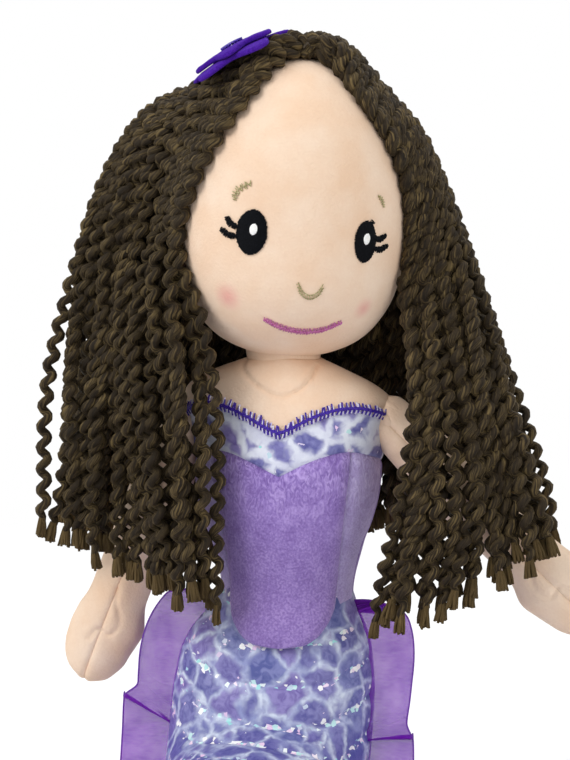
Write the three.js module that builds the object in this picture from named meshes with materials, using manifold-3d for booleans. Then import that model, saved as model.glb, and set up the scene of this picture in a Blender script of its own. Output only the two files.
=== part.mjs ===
// A soft mermaid doll that sits with its tail forward, in millimetres.
// +Z is up, the doll faces -Y, and its right side is at -X. The origin is on the floor below the hips.
import * as THREE from "three";
import { mergeVertices } from "three/addons/utils/BufferGeometryUtils.js";
import Module from "manifold-3d";

const wasm = await Module();
wasm.setup();

// Cloth and clearances
const SEAM_GAP = 0.3; // air between two pieces that touch
const CORE_GAP = 0.9; // air between the skin and the corners of the stuffing
const SKIN = 1.8; // thickness of a cloth panel with its pile
const STITCH = 0.7; // how far embroidery stands out
const FELT = 1.8;
const ORGANZA = 0.8; // a frill with its gathers
const FLOOR_CUT = 2.5; // depth of the flat that its weight presses into the seat and the tail
const SLIVER = 0.02; // a cut's edges shorter than this are joined

// Hips and tail. A tail section is [distance forward of the hips, half width, half height].
const HIP_RADIUS = 33;
const HIP_HALF_WIDTH = 36;
const TAIL_SECTIONS = [
  [-12, 25, 20],
  [4, 32, 24],
  [30, 33.5, 23],
  [60, 31, 21.5],
  [95, 25, 17.5],
  [125, 18, 13.5],
  [150, 12, 10],
];
const ANKLE_RADIUS = 10; // the rounded end that the fin is sewn to

// Fin. A section is [distance forward of the hips, half width, half height, height of its middle].
const FIN_SECTIONS = [
  [152, 11, 5.4, 7.6],
  [160, 17, 5.4, 7],
  [172, 33, 5.2, 6.4],
  [186, 47, 4.8, 5.8],
  [198, 55, 4, 5.2],
  [206, 50, 3.2, 4.8],
];
const FIN_NOTCH = 24; // depth of the notch between its lobes
const FIN_NOTCH_HALF_WIDTH = 19;

// Body. A section is [height, half width, half depth].
const BODY_SECTIONS = [
  [40, 34, 28],
  [62, 33.5, 26.5],
  [74, 31.5, 24.5],
  [82, 27.5, 22.5],
  [89, 24.2, 20.5],
  [106, 25.5, 21.5],
  [124, 28.5, 23],
  [140, 30.5, 23.5],
  [151, 31.5, 21.5],
  [158, 30.5, 18],
  [163, 26, 15],
  [166, 18, 13.4],
];
const BODY_FOOT_FRONT = 56; // height of the body's lower edge
const BODY_FOOT_BACK = 45;

// Edges on the front of the bodice, from the middle to the side, as [distance out, height]
const NECKLINE = [
  [0, 149],
  [7, 152.5],
  [19, 157],
  [27, 155],
  [36, 149],
];
const BAND_FOOT = [
  [0, 133],
  [9, 137.5],
  [18, 141],
  [26, 140],
  [36, 134],
];
const PRINCESS_SEAM = [
  [0, 74],
  [9, 75.5],
  [14.5, 80],
  [18.5, 89],
  [20.8, 110],
  [23.2, 146],
];
const BACK_NECKLINE = 151;
const BACK_BAND_FOOT = 136;
const BODICE_FOOT = 88;
const TRIM_HEIGHT = 3; // overlock stitching along the neckline
const TRIM_OVER = 0.5; // how far it stands above the cloth's edge

// Neck, round in section. A section is [height, radius].
const NECK_PIVOT = 160;
const NECK_BALL = 12.3;
const NECK_SECTIONS = [
  [160, 10.6],
  [170, 11.4],
  [184, 12.6],
];
const NECK_PLAY = 3.4; // room round the neck in the body's opening, for the nod

// Head. A section is [height above its middle, half width, half depth].
const HEAD_MIDDLE = [2.5, -2, 225.7];
const HEAD_SECTIONS = [
  [-52.5, 5, 5],
  [-50.5, 15, 14],
  [-46, 24.5, 22.5],
  [-39, 31.5, 29.5],
  [-28, 37, 34.5],
  [-12, 39.5, 36.5],
  [6, 38.2, 36.5],
  [22, 33.5, 33],
  [35, 26, 26.5],
  [45, 17, 18],
  [51, 7.5, 8],
];
const HEAD_YAW = 16; // degrees that the head looks to the doll's left
const HEAD_ROLL = 3; // degrees that it leans to the doll's left
const HEAD_SEAM = 4; // how far behind the middle the side seam runs

// Face, in the head's own frame, as [across, height] from the head's middle
const EYE_AT = [19.5, -10.5];
const EYE_SIZE = [9.4, 15];
const LEFT_EYE_SHARE = 0.86; // the left eye is sewn narrower
const HIGHLIGHT_SIZE = [2.6, 4];
const UPPER_LASH = [8.6, 5];
const LOWER_LASH = [10.8, 1.4];
const BROW = [
  [24.6, 1.6],
  [23.4, 4.4],
  [19.8, 6.2],
];
const NOSE = [
  [-4.6, -27.4],
  [-0.4, -31.4],
  [4.4, -27.8],
];
const MOUTH = [
  [-14.6, -39.2],
  [-2.6, -43.2],
  [11.8, -40.2],
];
const THREAD_LINE = 1.9; // width of a sewn line

// Shoulders and arms. A section is [distance from the shoulder, half width, half depth].
const SHOULDER_AT = [35.5, 151];
const SHOULDER_RADIUS = 9;
const ARM_SECTIONS = [
  [5.6, 7.4, 7.4],
  [15, 9.8, 9.6],
  [36, 11, 10.4],
  [56, 10.6, 9.8],
  [70, 10.8, 9],
  [82, 12.4, 8.8],
  [93, 11.6, 7.6],
  [100, 7.6, 5.4],
  [104, 2, 1.6],
];
const RIGHT_ARM_TILT = 22; // degrees that each arm hangs out from the vertical
const LEFT_ARM_TILT = 46;

// Frills. A point of the seam is [distance out, distance forward, height, width of the frill there].
const FRILL_SEAM = [
  [25, 7, 85, 7],
  [29.5, 12, 66, 12],
  [32, 19, 44, 17],
  [33.4, 31, 25.5, 22],
  [31, 56, 20, 24],
  [25, 90, 15.6, 24],
  [18, 121, 11.8, 22],
  [13.5, 143, 8.6, 17],
];
const FRILL_FOLDS = 9;
const FRILL_WAVE = 4.2; // how far a fold swings to each side at the frill's edge

// Hair. Locks start at the parting, cross the scalp to the side and hang down.
const HAIR_THICKNESS = 8.5;
const SCALP_TURN = 0.4; // share of a lock's way to the side where it still lies on the scalp
const SCALP_GAP = 1.5; // from the scalp to the corners of the hair's inner side
const LOCK_RADII = [4.7, 5.6, 7, 6.6, 4.4]; // of a lock, evenly from the parting to its tip
const PARTING_FRONT = 16; // degrees from the head's top, forward
const PARTING_BACK = 62; // degrees from the head's top, backward
const STITCH_WIDTH = 1.2;
const STITCH_DEPTH = 2; // how far the parting's stitches lie below the top of the hair
// A bunch's locks run from one near the face or the nape to one far out at the side. parting says where
// along the parting the near and the far lock start, and tips at which heights they end. A row is
// [height, near distance out, near distance forward, far distance out, far distance forward].
const RIGHT_FRONT = {
  locks: 5,
  parting: [0, 0.4],
  tips: [81, 106],
  rows: [
    [250, 27, 25, 54, -6],
    [222, 37, 23, 70, -3],
    [196, 37, 28, 77, 4],
    [168, 30, 33, 81, 12],
    [130, 24, 34, 82, 17],
    [96, 22, 33, 82, 18],
  ],
};
const LEFT_FRONT = {
  locks: 5,
  parting: [0, 0.4],
  tips: [79, 106],
  rows: [
    [250, 37, 11, 50, -9],
    [222, 44, 9, 60, -7],
    [196, 48, 14, 68, 1],
    [168, 49, 25, 77, 13],
    [130, 45, 31, 87, 19],
    [96, 40, 33, 92, 21],
  ],
};
const RIGHT_BACK = {
  locks: 5,
  parting: [0.9, 0.5],
  tips: [92, 104],
  rows: [
    [250, 24, -25, 53, -13],
    [222, 26, -32, 68, -10],
    [196, 25, -39, 76, -12],
    [168, 22, -43, 82, -16],
    [130, 21, -42, 85, -18],
    [96, 22, -40, 86, -18],
  ],
};
const LEFT_BACK = {
  locks: 5,
  parting: [0.9, 0.5],
  tips: [92, 104],
  rows: [
    [250, 9, -33, 47, -17],
    [222, 10, -39, 58, -15],
    [196, 14, -43, 67, -15],
    [168, 18, -44, 76, -17],
    [130, 20, -42, 86, -20],
    [96, 21, -40, 91, -21],
  ],
};
const BACK_MIDDLE = {
  locks: 3,
  parting: [1, 1],
  tips: [92, 92],
  rows: [
    [250, -1, -35, -14, -31.5],
    [222, 0, -40, -15, -37],
    [196, 4, -44, -13, -42],
    [168, 7, -45, -10, -44],
    [130, 9, -43, -9, -43],
    [96, 10, -41, -10, -41],
  ],
};

// Felt flower on the right of the crown, as [polar angle, azimuth] on the scalp
const FLOWER_AT = [32, 84];
const FLOWER_SINK = 1.8; // how far its lower petals press into the hair
const FLOWER_RADIUS = 20;
const FLOWER_INNER_RADIUS = 15.5;
const FLOWER_CENTRE_RADIUS = 4;
const FLOWER_CENTRE = 1.2;
const PETALS = 5;
const PETAL_DEPTH = 0.16; // share of the radius that the petals' edge swings

// Facets round a form
const HEAD_SIDES = 20;
const BODY_SIDES = 16;
const LIMB_SIDES = 10;
const CORE_SIDES = 10;
const ARM_CORE_SIDES = 8;
const SCALP_SIDES = 12; // of the head where it cuts the hair
const LOCK_SIDES = 5;
const LOCK_STEPS = 7;
const FOLD_STEPS = 4; // along one fold of a frill
const PETAL_STEPS = 8;
const BUTTON_SIDES = 12;
const EYE_SIDES = 18;
const HIGHLIGHT_SIDES = 10;
const SEAM_STEPS = 14; // along a curved seam
const THREAD_STEPS = 6; // along a curved line of stitches
const LEAST_HALF_WIDTH = 0.5; // of a core's end

const HIP = [0, 0, HIP_RADIUS - FLOOR_CUT];
const ANKLE_AT = TAIL_SECTIONS.at(-1)[0];
const ANKLE = [0, -ANKLE_AT, ANKLE_RADIUS - FLOOR_CUT];
const FAR = 300; // past the doll on every side

const radians = THREE.MathUtils.degToRad;
const lerp = THREE.MathUtils.lerp;
const point = (x, y, z) => new THREE.Vector3(x, y, z);

// A closed three.js geometry as a solid
function solid(geometry) {
  geometry.deleteAttribute("normal");
  geometry.deleteAttribute("uv");
  const merged = mergeVertices(geometry, 1e-4);
  return new wasm.Manifold(
    new wasm.Mesh({
      numProp: 3,
      vertProperties: merged.attributes.position.array,
      triVerts: new Uint32Array(merged.index.array),
    }),
  );
}

// A closed solid through rings of points, with a fan over each end
function skinned(rings) {
  const sides = rings[0].length;
  const middle = (ring) =>
    ring.reduce((sum, p) => sum.add(p), point(0, 0, 0)).divideScalar(sides);
  const points = [...rings.flat(), middle(rings[0]), middle(rings.at(-1))];
  const last = (rings.length - 1) * sides;
  const index = [];
  for (let i = 0; i < sides; i++) {
    const next = (i + 1) % sides;
    for (let r = 0; r < last; r += sides)
      index.push(r + i, r + next, r + next + sides, r + i, r + next + sides, r + i + sides);
    index.push(points.length - 2, next, i);
    index.push(points.length - 1, last + i, last + next);
  }
  return solid(new THREE.BufferGeometry().setFromPoints(points).setIndex(index));
}

// A stuffed form along +Z from sections [at, half width, half depth], grown by grow on every side.
// shift gives how far a section's middle lies along +Y.
function stuffed(sections, grow = 0, sides = BODY_SIDES, shift = () => 0) {
  const first = sections[0][0];
  const length = sections.at(-1)[0] - first;
  const ring = (section) => {
    const [at, wide, deep] = section;
    const height = at + grow * ((2 * (at - first)) / length - 1);
    return Array.from({ length: sides }, (_, i) => {
      const angle = ((i + 0.5) * 2 * Math.PI) / sides;
      const across = Math.max(wide + grow, LEAST_HALF_WIDTH) * Math.cos(angle);
      const ahead = Math.max(deep + grow, LEAST_HALF_WIDTH) * Math.sin(angle);
      return point(across, ahead + shift(section), height);
    });
  };
  return skinned(sections.map(ring));
}

// A solid turned about X, then Y, then Z, in degrees, and moved
function placed(made, at, [aboutX, aboutY, aboutZ]) {
  const turn = new THREE.Euler(radians(aboutX), radians(aboutY), radians(aboutZ), "ZYX");
  return made.transform(new THREE.Matrix4().makeRotationFromEuler(turn).setPosition(...at).elements);
}

const forward = (made) => placed(made, [0, 0, 0], [90, 0, 0]);
const flipped = (made) => made.scale([-1, 1, 1]);

// A ball, wider along X by stretch, with its poles on the X axis
function ball(radius, at, stretch = 1, sides = BODY_SIDES) {
  const sphere = new THREE.SphereGeometry(radius, sides, sides / 2);
  return solid(sphere.rotateZ(Math.PI / 2).scale(stretch, 1, 1).translate(...at));
}

function block(low, high) {
  const size = high.map((value, i) => value - low[i]);
  const middle = high.map((value, i) => (value + low[i]) / 2);
  return solid(new THREE.BoxGeometry(...size).translate(...middle));
}

const flat = (outline) => new THREE.Shape(outline.map(([a, b]) => new THREE.Vector2(a, b)));

// An outline in XZ made solid from y = front to y = back
function prism(outline, front, back) {
  const made = new THREE.ExtrudeGeometry(flat(outline), {
    depth: back - front,
    bevelEnabled: false,
  });
  return solid(made.rotateX(Math.PI / 2).translate(0, back, 0));
}

// Everything above a line in YZ that runs from back to front, raised by rise
function aboveProfile(line, rise) {
  const ends = [
    [FAR, line[0][1]],
    ...line,
    [-FAR, line.at(-1)[1]],
    [-FAR, FAR],
    [FAR, FAR],
  ];
  const made = new THREE.ExtrudeGeometry(flat(ends.map(([y, z]) => [y, z + rise])), {
    depth: 2 * FAR,
    bevelEnabled: false,
  });
  return solid(made.rotateX(Math.PI / 2).rotateZ(Math.PI / 2).translate(-FAR, 0, 0));
}

// Everything above a line in XZ on the front, and above a level on the back, raised by rise
function aboveEdge(line, backLevel, rise) {
  const ends = [[-FAR, line[0][1]], ...line, [FAR, line.at(-1)[1]], [FAR, FAR], [-FAR, FAR]];
  return prism(
    ends.map(([x, z]) => [x, z + rise]),
    -FAR,
    0,
  ).add(block([-FAR, 0, backLevel + rise], [FAR, FAR, FAR]));
}

function smooth(points, count) {
  const line = new THREE.CatmullRomCurve3(points.map(([a, b, c = 0]) => point(a, b, c)));
  return line.getPoints(count).map((p) => [p.x, p.y, p.z]);
}

// A line from the middle outwards, carried on to the other side
const bothSides = (line) => [...line.slice(1).reverse().map(([x, z]) => [-x, z]), ...line];

const ellipse = ([x, z], [width, height], sides) =>
  Array.from({ length: sides }, (_, i) => {
    const angle = (i * 2 * Math.PI) / sides;
    return [x + (width / 2) * Math.cos(angle), z + (height / 2) * Math.sin(angle)];
  });

// The outline of a line sewn along points, with narrow ends
function sewnLine(points, width) {
  const line = points.map(([x, z]) => new THREE.Vector2(x, z));
  const sides = line.map((p, i) => {
    const along = line[Math.min(i + 1, line.length - 1)].clone().sub(line[Math.max(i - 1, 0)]);
    const narrow = i === 0 || i === line.length - 1 ? 0.5 : 1;
    const out = new THREE.Vector2(-along.y, along.x).setLength((width / 2) * narrow);
    return [p.clone().add(out), p.clone().sub(out)];
  });
  const left = sides.map(([a]) => [a.x, a.y]);
  const right = sides.map(([, b]) => [b.x, b.y]);
  return [...left, ...right.reverse()];
}

// The largest single body of a solid that cuts have left in pieces
const largest = (made) =>
  made.decompose().reduce((best, next) => (next.volume() > best.volume() ? next : best));

// Air that a faceted ball needs to turn in its seat, about its poles or about another axis too
const turningGap = (radius, axes = 1, sides = BODY_SIDES) =>
  SEAM_GAP / 2 + radius / Math.cos(Math.PI / sides) ** axes - radius;

const pieces = {};

// Hips and tail
const hipBall = (grow, sides = BODY_SIDES) =>
  ball(HIP_RADIUS + grow, HIP, HIP_HALF_WIDTH / HIP_RADIUS, sides);
const ankleBall = (grow) =>
  ball(ANKLE_RADIUS + grow, ANKLE, TAIL_SECTIONS.at(-1)[1] / ANKLE_RADIUS);

function tailForm(grow, sides = BODY_SIDES) {
  const tail = stuffed(TAIL_SECTIONS, grow, sides, ([, , high]) => high - FLOOR_CUT);
  return forward(tail).add(hipBall(grow, sides)).add(ankleBall(grow));
}

function makeTail() {
  const ahead = TAIL_SECTIONS.filter(([at]) => at > 0);
  const seam = [[0, HIP[2]], ...ahead.map(([at, , high]) => [-at, high - FLOOR_CUT])];
  const pressed = (made, height) => made.intersect(block([-FAR, -FAR, height], [FAR, FAR, FAR]));
  const shell = pressed(tailForm(0), 0).subtract(pressed(tailForm(-SKIN), SKIN));
  pieces.tail_front_panel = shell.intersect(aboveProfile(seam, SEAM_GAP / 2));
  pieces.tail_back_panel = shell.subtract(aboveProfile(seam, -SEAM_GAP / 2));
  pieces.tail_stuffing = pressed(tailForm(-SKIN - CORE_GAP, CORE_SIDES), SKIN + CORE_GAP);
}

// The rounded notch in the fin's far edge
function finNotch(grow) {
  const tip = FIN_SECTIONS.at(-1)[0];
  const half = FIN_NOTCH_HALF_WIDTH - grow;
  const side = [
    [0, tip - FIN_NOTCH + grow],
    [half / 2, tip - FIN_NOTCH / 2 + grow],
    [half, tip + FIN_NOTCH / 3],
  ];
  const outline = smooth(bothSides(side), SEAM_STEPS).map(([x, at]) => [x, -at]);
  const made = new THREE.ExtrudeGeometry(flat(outline), { depth: FAR, bevelEnabled: false });
  return solid(made.translate(0, 0, -FAR / 2));
}

function makeFin() {
  const lobes = (grow, sides = BODY_SIDES) =>
    forward(stuffed(FIN_SECTIONS, grow, sides, ([, , , middle]) => middle))
      .subtract(finNotch(grow))
      .subtract(ankleBall(turningGap(ANKLE_RADIUS)));
  const seam = FIN_SECTIONS.map(([at, , , middle]) => [-at, middle]);
  const shell = lobes(0).subtract(lobes(-SKIN));
  pieces.fin_upper_panel = shell.intersect(aboveProfile(seam, SEAM_GAP / 2));
  pieces.fin_lower_panel = shell.subtract(aboveProfile(seam, -SEAM_GAP / 2));
  pieces.fin_stuffing = lobes(-SKIN - CORE_GAP, CORE_SIDES);
}

// Body
const neckForm = (grow) =>
  stuffed(
    NECK_SECTIONS.map(([at, radius]) => [at, radius, radius]),
    grow,
  );
const neckSeat = (grow) => ball(NECK_BALL + grow, [0, 0, NECK_PIVOT]);
const shoulderBall = (side, grow) =>
  ball(SHOULDER_RADIUS + grow, [side * SHOULDER_AT[0], 0, SHOULDER_AT[1]]);
const bodyForm = (grow, sides = BODY_SIDES) => stuffed(BODY_SECTIONS, grow, sides);

// A body solid with its seats for the hips, the neck and the shoulders cut out
function seated(made) {
  const foot = [
    [HIP_RADIUS, BODY_FOOT_BACK],
    [-HIP_RADIUS, BODY_FOOT_FRONT],
  ];
  return made
    .intersect(aboveProfile(foot, 0))
    .subtract(hipBall(turningGap(HIP_RADIUS)))
    .subtract(neckSeat(turningGap(NECK_BALL)))
    .subtract(neckForm(NECK_PLAY))
    .subtract(shoulderBall(1, turningGap(SHOULDER_RADIUS, 2)))
    .subtract(shoulderBall(-1, turningGap(SHOULDER_RADIUS, 2)));
}

function makeBody() {
  const half = SEAM_GAP / 2;
  const shell = seated(bodyForm(0).subtract(bodyForm(-SKIN)));
  const neckline = smooth(bothSides(NECKLINE), SEAM_STEPS);
  const bandFoot = smooth(bothSides(BAND_FOOT), SEAM_STEPS);
  const overNeckline = (rise) => aboveEdge(neckline, BACK_NECKLINE, rise);
  const overBandFoot = (rise) => aboveEdge(bandFoot, BACK_BAND_FOOT, rise);
  pieces.chest_skin = shell.intersect(overNeckline(half));
  pieces.neckline_band = shell.subtract(overNeckline(-half)).intersect(overBandFoot(half));

  const bodice = shell.subtract(overBandFoot(-half));
  const seamLine = smooth(PRINCESS_SEAM, SEAM_STEPS / 2);
  const frontPanel = (grow) =>
    prism(
      bothSides(seamLine.map(([x, z], i) => [i ? x + grow : 0, z - grow])),
      -FAR,
      0,
    );
  pieces.bodice_front_panel = bodice.intersect(frontPanel(-half));
  const sides = bodice.subtract(frontPanel(half));
  const overFoot = (rise) => block([-FAR, -FAR, BODICE_FOOT + rise], [FAR, FAR, FAR]);
  const upper = sides.intersect(overFoot(half));
  pieces.bodice_left_side_panel = upper.intersect(block([half, -FAR, 0], [FAR, -half, FAR]));
  pieces.bodice_right_side_panel = upper.intersect(block([-FAR, -FAR, 0], [-half, -half, FAR]));
  pieces.bodice_back_panel = upper.intersect(block([-FAR, half, 0], [FAR, FAR, FAR]));
  pieces.belly_panel = sides.subtract(overFoot(-half));

  const stitches = bodyForm(SEAM_GAP + STITCH).subtract(bodyForm(SEAM_GAP));
  const trim = seated(stitches)
    .subtract(overNeckline(TRIM_OVER))
    .intersect(overNeckline(TRIM_OVER - TRIM_HEIGHT));
  pieces.neckline_trim_front = trim.intersect(block([-FAR, -FAR, 0], [FAR, -half, FAR]));
  pieces.neckline_trim_back = trim.intersect(block([-FAR, half, 0], [FAR, FAR, FAR]));
  pieces.body_stuffing = seated(bodyForm(-SKIN - CORE_GAP, CORE_SIDES));
}

// Shoulders and arms, made as the left one and mirrored
function armForm(side, grow, sides = LIMB_SIDES) {
  const tilt = side > 0 ? LEFT_ARM_TILT : RIGHT_ARM_TILT;
  const turned = placed(
    stuffed(ARM_SECTIONS, grow, sides),
    [SHOULDER_AT[0], 0, SHOULDER_AT[1]],
    [0, 180 - tilt, 0],
  );
  return side > 0 ? turned : flipped(turned);
}

function makeArm(side, name) {
  const tilt = side > 0 ? LEFT_ARM_TILT : RIGHT_ARM_TILT;
  const seat = shoulderBall(side, SEAM_GAP);
  const shell = armForm(side, 0).subtract(armForm(side, -SKIN)).subtract(seat);
  const inner = placed(
    block([SEAM_GAP / 2, -FAR, -FAR], [FAR, FAR, FAR]),
    [SHOULDER_AT[0], 0, SHOULDER_AT[1]],
    [0, 180 - tilt, 0],
  );
  const outer = placed(
    block([-FAR, -FAR, -FAR], [-SEAM_GAP / 2, FAR, FAR]),
    [SHOULDER_AT[0], 0, SHOULDER_AT[1]],
    [0, 180 - tilt, 0],
  );
  pieces[`${name}_shoulder_gusset`] = shoulderBall(side, 0);
  pieces[`${name}_arm_inner_panel`] = shell.intersect(side > 0 ? inner : flipped(inner));
  pieces[`${name}_arm_outer_panel`] = shell.intersect(side > 0 ? outer : flipped(outer));
  pieces[`${name}_arm_stuffing`] = armForm(side, -SKIN - CORE_GAP, ARM_CORE_SIDES).subtract(seat);
}

// Head
const onHead = (made) => placed(made, HEAD_MIDDLE, [0, HEAD_ROLL, HEAD_YAW]);
const headForm = (grow, sides = HEAD_SIDES) => onHead(stuffed(HEAD_SECTIONS, grow, sides));

function makeHead() {
  const half = SEAM_GAP / 2;
  const socket = neckForm(turningGap(NECK_SECTIONS.at(-1)[1]));
  const shell = headForm(0).subtract(headForm(-SKIN)).subtract(socket);
  const front = onHead(block([-FAR, -FAR, -FAR], [FAR, HEAD_SEAM - half, FAR]));
  const back = onHead(block([-FAR, HEAD_SEAM + half, -FAR], [FAR, FAR, FAR]));
  pieces.neck = neckForm(0).add(neckSeat(0));
  pieces.face_panel = shell.intersect(front);
  pieces.head_back_panel = shell.intersect(back);
  pieces.head_stuffing = headForm(-SKIN - CORE_GAP, CORE_SIDES).subtract(socket);
}

// A patch of stitches over an outline on the face
function embroidered(...outlines) {
  const layer = headForm(SEAM_GAP + STITCH).subtract(headForm(SEAM_GAP));
  const cut = outlines
    .map((outline) => prism(outline, -FAR, 0))
    .reduce((all, next) => all.add(next));
  return onHead(cut).intersect(layer);
}

function makeEye(side, name) {
  const share = side > 0 ? LEFT_EYE_SHARE : 1;
  const [x, z] = [side * EYE_AT[0], EYE_AT[1]];
  const size = [EYE_SIZE[0] * share, EYE_SIZE[1]];
  const lash = ([out, up]) => sewnLine([[x, z], [x + side * out * share, z + up]], THREAD_LINE);
  const spot = (grow) =>
    ellipse(
      [x, z],
      HIGHLIGHT_SIZE.map((value) => value + grow),
      HIGHLIGHT_SIDES,
    );
  const hole = onHead(prism(spot(SEAM_GAP), -FAR, 0));
  const eye = embroidered(ellipse([x, z], size, EYE_SIDES), lash(UPPER_LASH), lash(LOWER_LASH));
  pieces[`${name}_eye_stitches`] = eye.subtract(hole);
  pieces[`${name}_eye_highlight`] = embroidered(spot(-SEAM_GAP));
  const brow = smooth(
    BROW.map(([out, up]) => [side * out, up]),
    THREAD_STEPS,
  );
  pieces[`${name}_brow_stitches`] = embroidered(sewnLine(brow, THREAD_LINE));
}

function makeFace() {
  makeEye(-1, "right");
  makeEye(1, "left");
  pieces.nose_stitches = embroidered(sewnLine(smooth(NOSE, THREAD_STEPS), THREAD_LINE));
  pieces.mouth_stitches = embroidered(sewnLine(smooth(MOUTH, THREAD_STEPS), THREAD_LINE));
}

// Half width and half depth of the head at a height above its middle
function headAt(height) {
  const top = HEAD_SECTIONS.findIndex(([at]) => at >= height);
  if (top <= 0) return HEAD_SECTIONS.at(top).slice(1);
  const [low, high] = [HEAD_SECTIONS[top - 1], HEAD_SECTIONS[top]];
  const share = (height - low[0]) / (high[0] - low[0]);
  return [lerp(low[1], high[1], share), lerp(low[2], high[2], share)];
}

// A point over the scalp. polar is in degrees from the head's top and azimuth from its front.
function overScalp(polar, azimuth, lift) {
  const top = HEAD_SECTIONS.at(-1)[0];
  const [wide, deep] = headAt(top * Math.cos(radians(polar)));
  const reach = Math.sin(radians(Math.min(polar, 90)));
  return point(
    (wide + lift * reach) * Math.sin(radians(azimuth)),
    -(deep + lift * reach) * Math.cos(radians(azimuth)),
    (top + lift) * Math.cos(radians(polar)),
  );
}

const headMatrix = new THREE.Matrix4()
  .makeRotationFromEuler(new THREE.Euler(0, radians(HEAD_ROLL), radians(HEAD_YAW), "ZYX"))
  .setPosition(...HEAD_MIDDLE);

// The middle line of one lock: over the scalp from the parting, then hanging. The near lock's share is 0.
function lockLine(side, { parting, tips, rows }, share) {
  const start = lerp(PARTING_FRONT, -PARTING_BACK, lerp(...parting, share));
  const far = share * share;
  const hanging = rows.map(([height, nearOut, nearAhead, farOut, farAhead], i) => {
    const level = i === rows.length - 1 ? lerp(...tips, share) : height;
    return point(side * lerp(nearOut, farOut, far), -lerp(nearAhead, farAhead, share), level);
  });
  const from = overScalp(Math.abs(start), start > 0 ? 0 : 180, HAIR_THICKNESS / 2);
  const to = hanging[0].clone().applyMatrix4(headMatrix.clone().invert());
  const onScalp = [0, SCALP_TURN].map((way) => {
    const at = from.clone().lerp(to, way);
    const polar = THREE.MathUtils.radToDeg(at.angleTo(point(0, 0, 1)));
    const azimuth = THREE.MathUtils.radToDeg(Math.atan2(at.x, -at.y));
    return overScalp(polar, azimuth, HAIR_THICKNESS / 2).applyMatrix4(headMatrix);
  });
  return new THREE.CatmullRomCurve3([...onScalp, ...hanging]);
}

function lock(line, grow) {
  const radii = new THREE.CatmullRomCurve3(LOCK_RADII.map((radius) => point(radius, 0, 0)));
  const frames = line.computeFrenetFrames(LOCK_STEPS, false);
  const rings = frames.tangents.map((_, i) => {
    const share = i / LOCK_STEPS;
    const radius = radii.getPoint(share).x + grow;
    return Array.from({ length: LOCK_SIDES }, (_unused, k) => {
      const angle = (k * 2 * Math.PI) / LOCK_SIDES;
      return line
        .getPointAt(share)
        .addScaledVector(frames.normals[i], radius * Math.cos(angle))
        .addScaledVector(frames.binormals[i], radius * Math.sin(angle));
    });
  });
  return skinned(rings);
}

function bunch(side, hair, grow = 0) {
  return Array.from({ length: hair.locks }, (_, i) =>
    lock(lockLine(side, hair, i / (hair.locks - 1)), grow),
  ).reduce((all, next) => all.add(next));
}

function makeHair() {
  const clear = 2 * SEAM_GAP;
  const under = [
    headForm(SCALP_GAP, SCALP_SIDES),
    bodyForm(2 * SEAM_GAP + STITCH),
    neckForm(clear),
    armForm(1, clear),
    armForm(-1, clear),
    shoulderBall(1, clear),
    shoulderBall(-1, clear),
    flowerForm(SEAM_GAP),
  ].reduce((all, next) => all.add(next));
  const edge = STITCH_WIDTH / 2 + SEAM_GAP;
  const halfOfHead = (side) =>
    onHead(
      side > 0
        ? block([edge, -FAR, -FAR], [FAR, FAR, FAR])
        : block([-FAR, -FAR, -FAR], [-edge, FAR, FAR]),
    );
  const backMiddle = bunch(1, BACK_MIDDLE).subtract(under);
  pieces.hair_back_middle = largest(backMiddle);
  for (const [side, name, front, back] of [
    [-1, "right", RIGHT_FRONT, RIGHT_BACK],
    [1, "left", LEFT_FRONT, LEFT_BACK],
  ]) {
    const beside = halfOfHead(side);
    const cleared = (made) => largest(made.subtract(under).intersect(beside));
    pieces[`${name}_hair_front`] = cleared(bunch(side, front));
    pieces[`${name}_hair_back`] = cleared(
      bunch(side, back)
        .subtract(bunch(side, front, SEAM_GAP))
        .subtract(bunch(1, BACK_MIDDLE, SEAM_GAP)),
    );
  }
  const ridge = headForm(HAIR_THICKNESS - STITCH_DEPTH).subtract(headForm(SEAM_GAP));
  const top = HEAD_SECTIONS.at(-1)[0];
  const front = -top * Math.sin(radians(PARTING_FRONT)) - LOCK_RADII[0];
  const foot = top * Math.cos(radians(PARTING_BACK));
  const along = onHead(block([-STITCH_WIDTH / 2, front, foot], [STITCH_WIDTH / 2, FAR, FAR]));
  pieces.parting_stitches = largest(
    ridge.intersect(along).subtract(bunch(1, BACK_MIDDLE, SEAM_GAP)).subtract(flowerForm(SEAM_GAP)),
  );
}

// Felt flower, in its own frame with +Z outwards, and on the crown
function petalled(radius, low, high, turn) {
  const steps = PETALS * PETAL_STEPS;
  const outline = Array.from({ length: steps }, (_, i) => {
    const angle = (i * 2 * Math.PI) / steps;
    const reach = radius * (1 - PETAL_DEPTH + PETAL_DEPTH * Math.cos(PETALS * (angle + turn)));
    return [reach * Math.cos(angle), reach * Math.sin(angle)];
  });
  const made = new THREE.ExtrudeGeometry(flat(outline), { depth: high - low, bevelEnabled: false });
  return solid(made.translate(0, 0, low));
}

function onCrown(made) {
  const [polar, azimuth] = FLOWER_AT;
  const at = overScalp(polar, -azimuth, HAIR_THICKNESS - FLOWER_SINK);
  const out = point(-Math.sin(radians(polar)), 0, Math.cos(radians(polar)));
  const matrix = new THREE.Matrix4()
    .makeRotationFromQuaternion(new THREE.Quaternion().setFromUnitVectors(point(0, 0, 1), out))
    .setPosition(at);
  return made.transform(headMatrix.clone().multiply(matrix).elements);
}

const flowerForm = (grow) =>
  onCrown(petalled(FLOWER_RADIUS + grow, -grow, 2 * FELT + SEAM_GAP + FLOWER_CENTRE + grow, 0));

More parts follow.
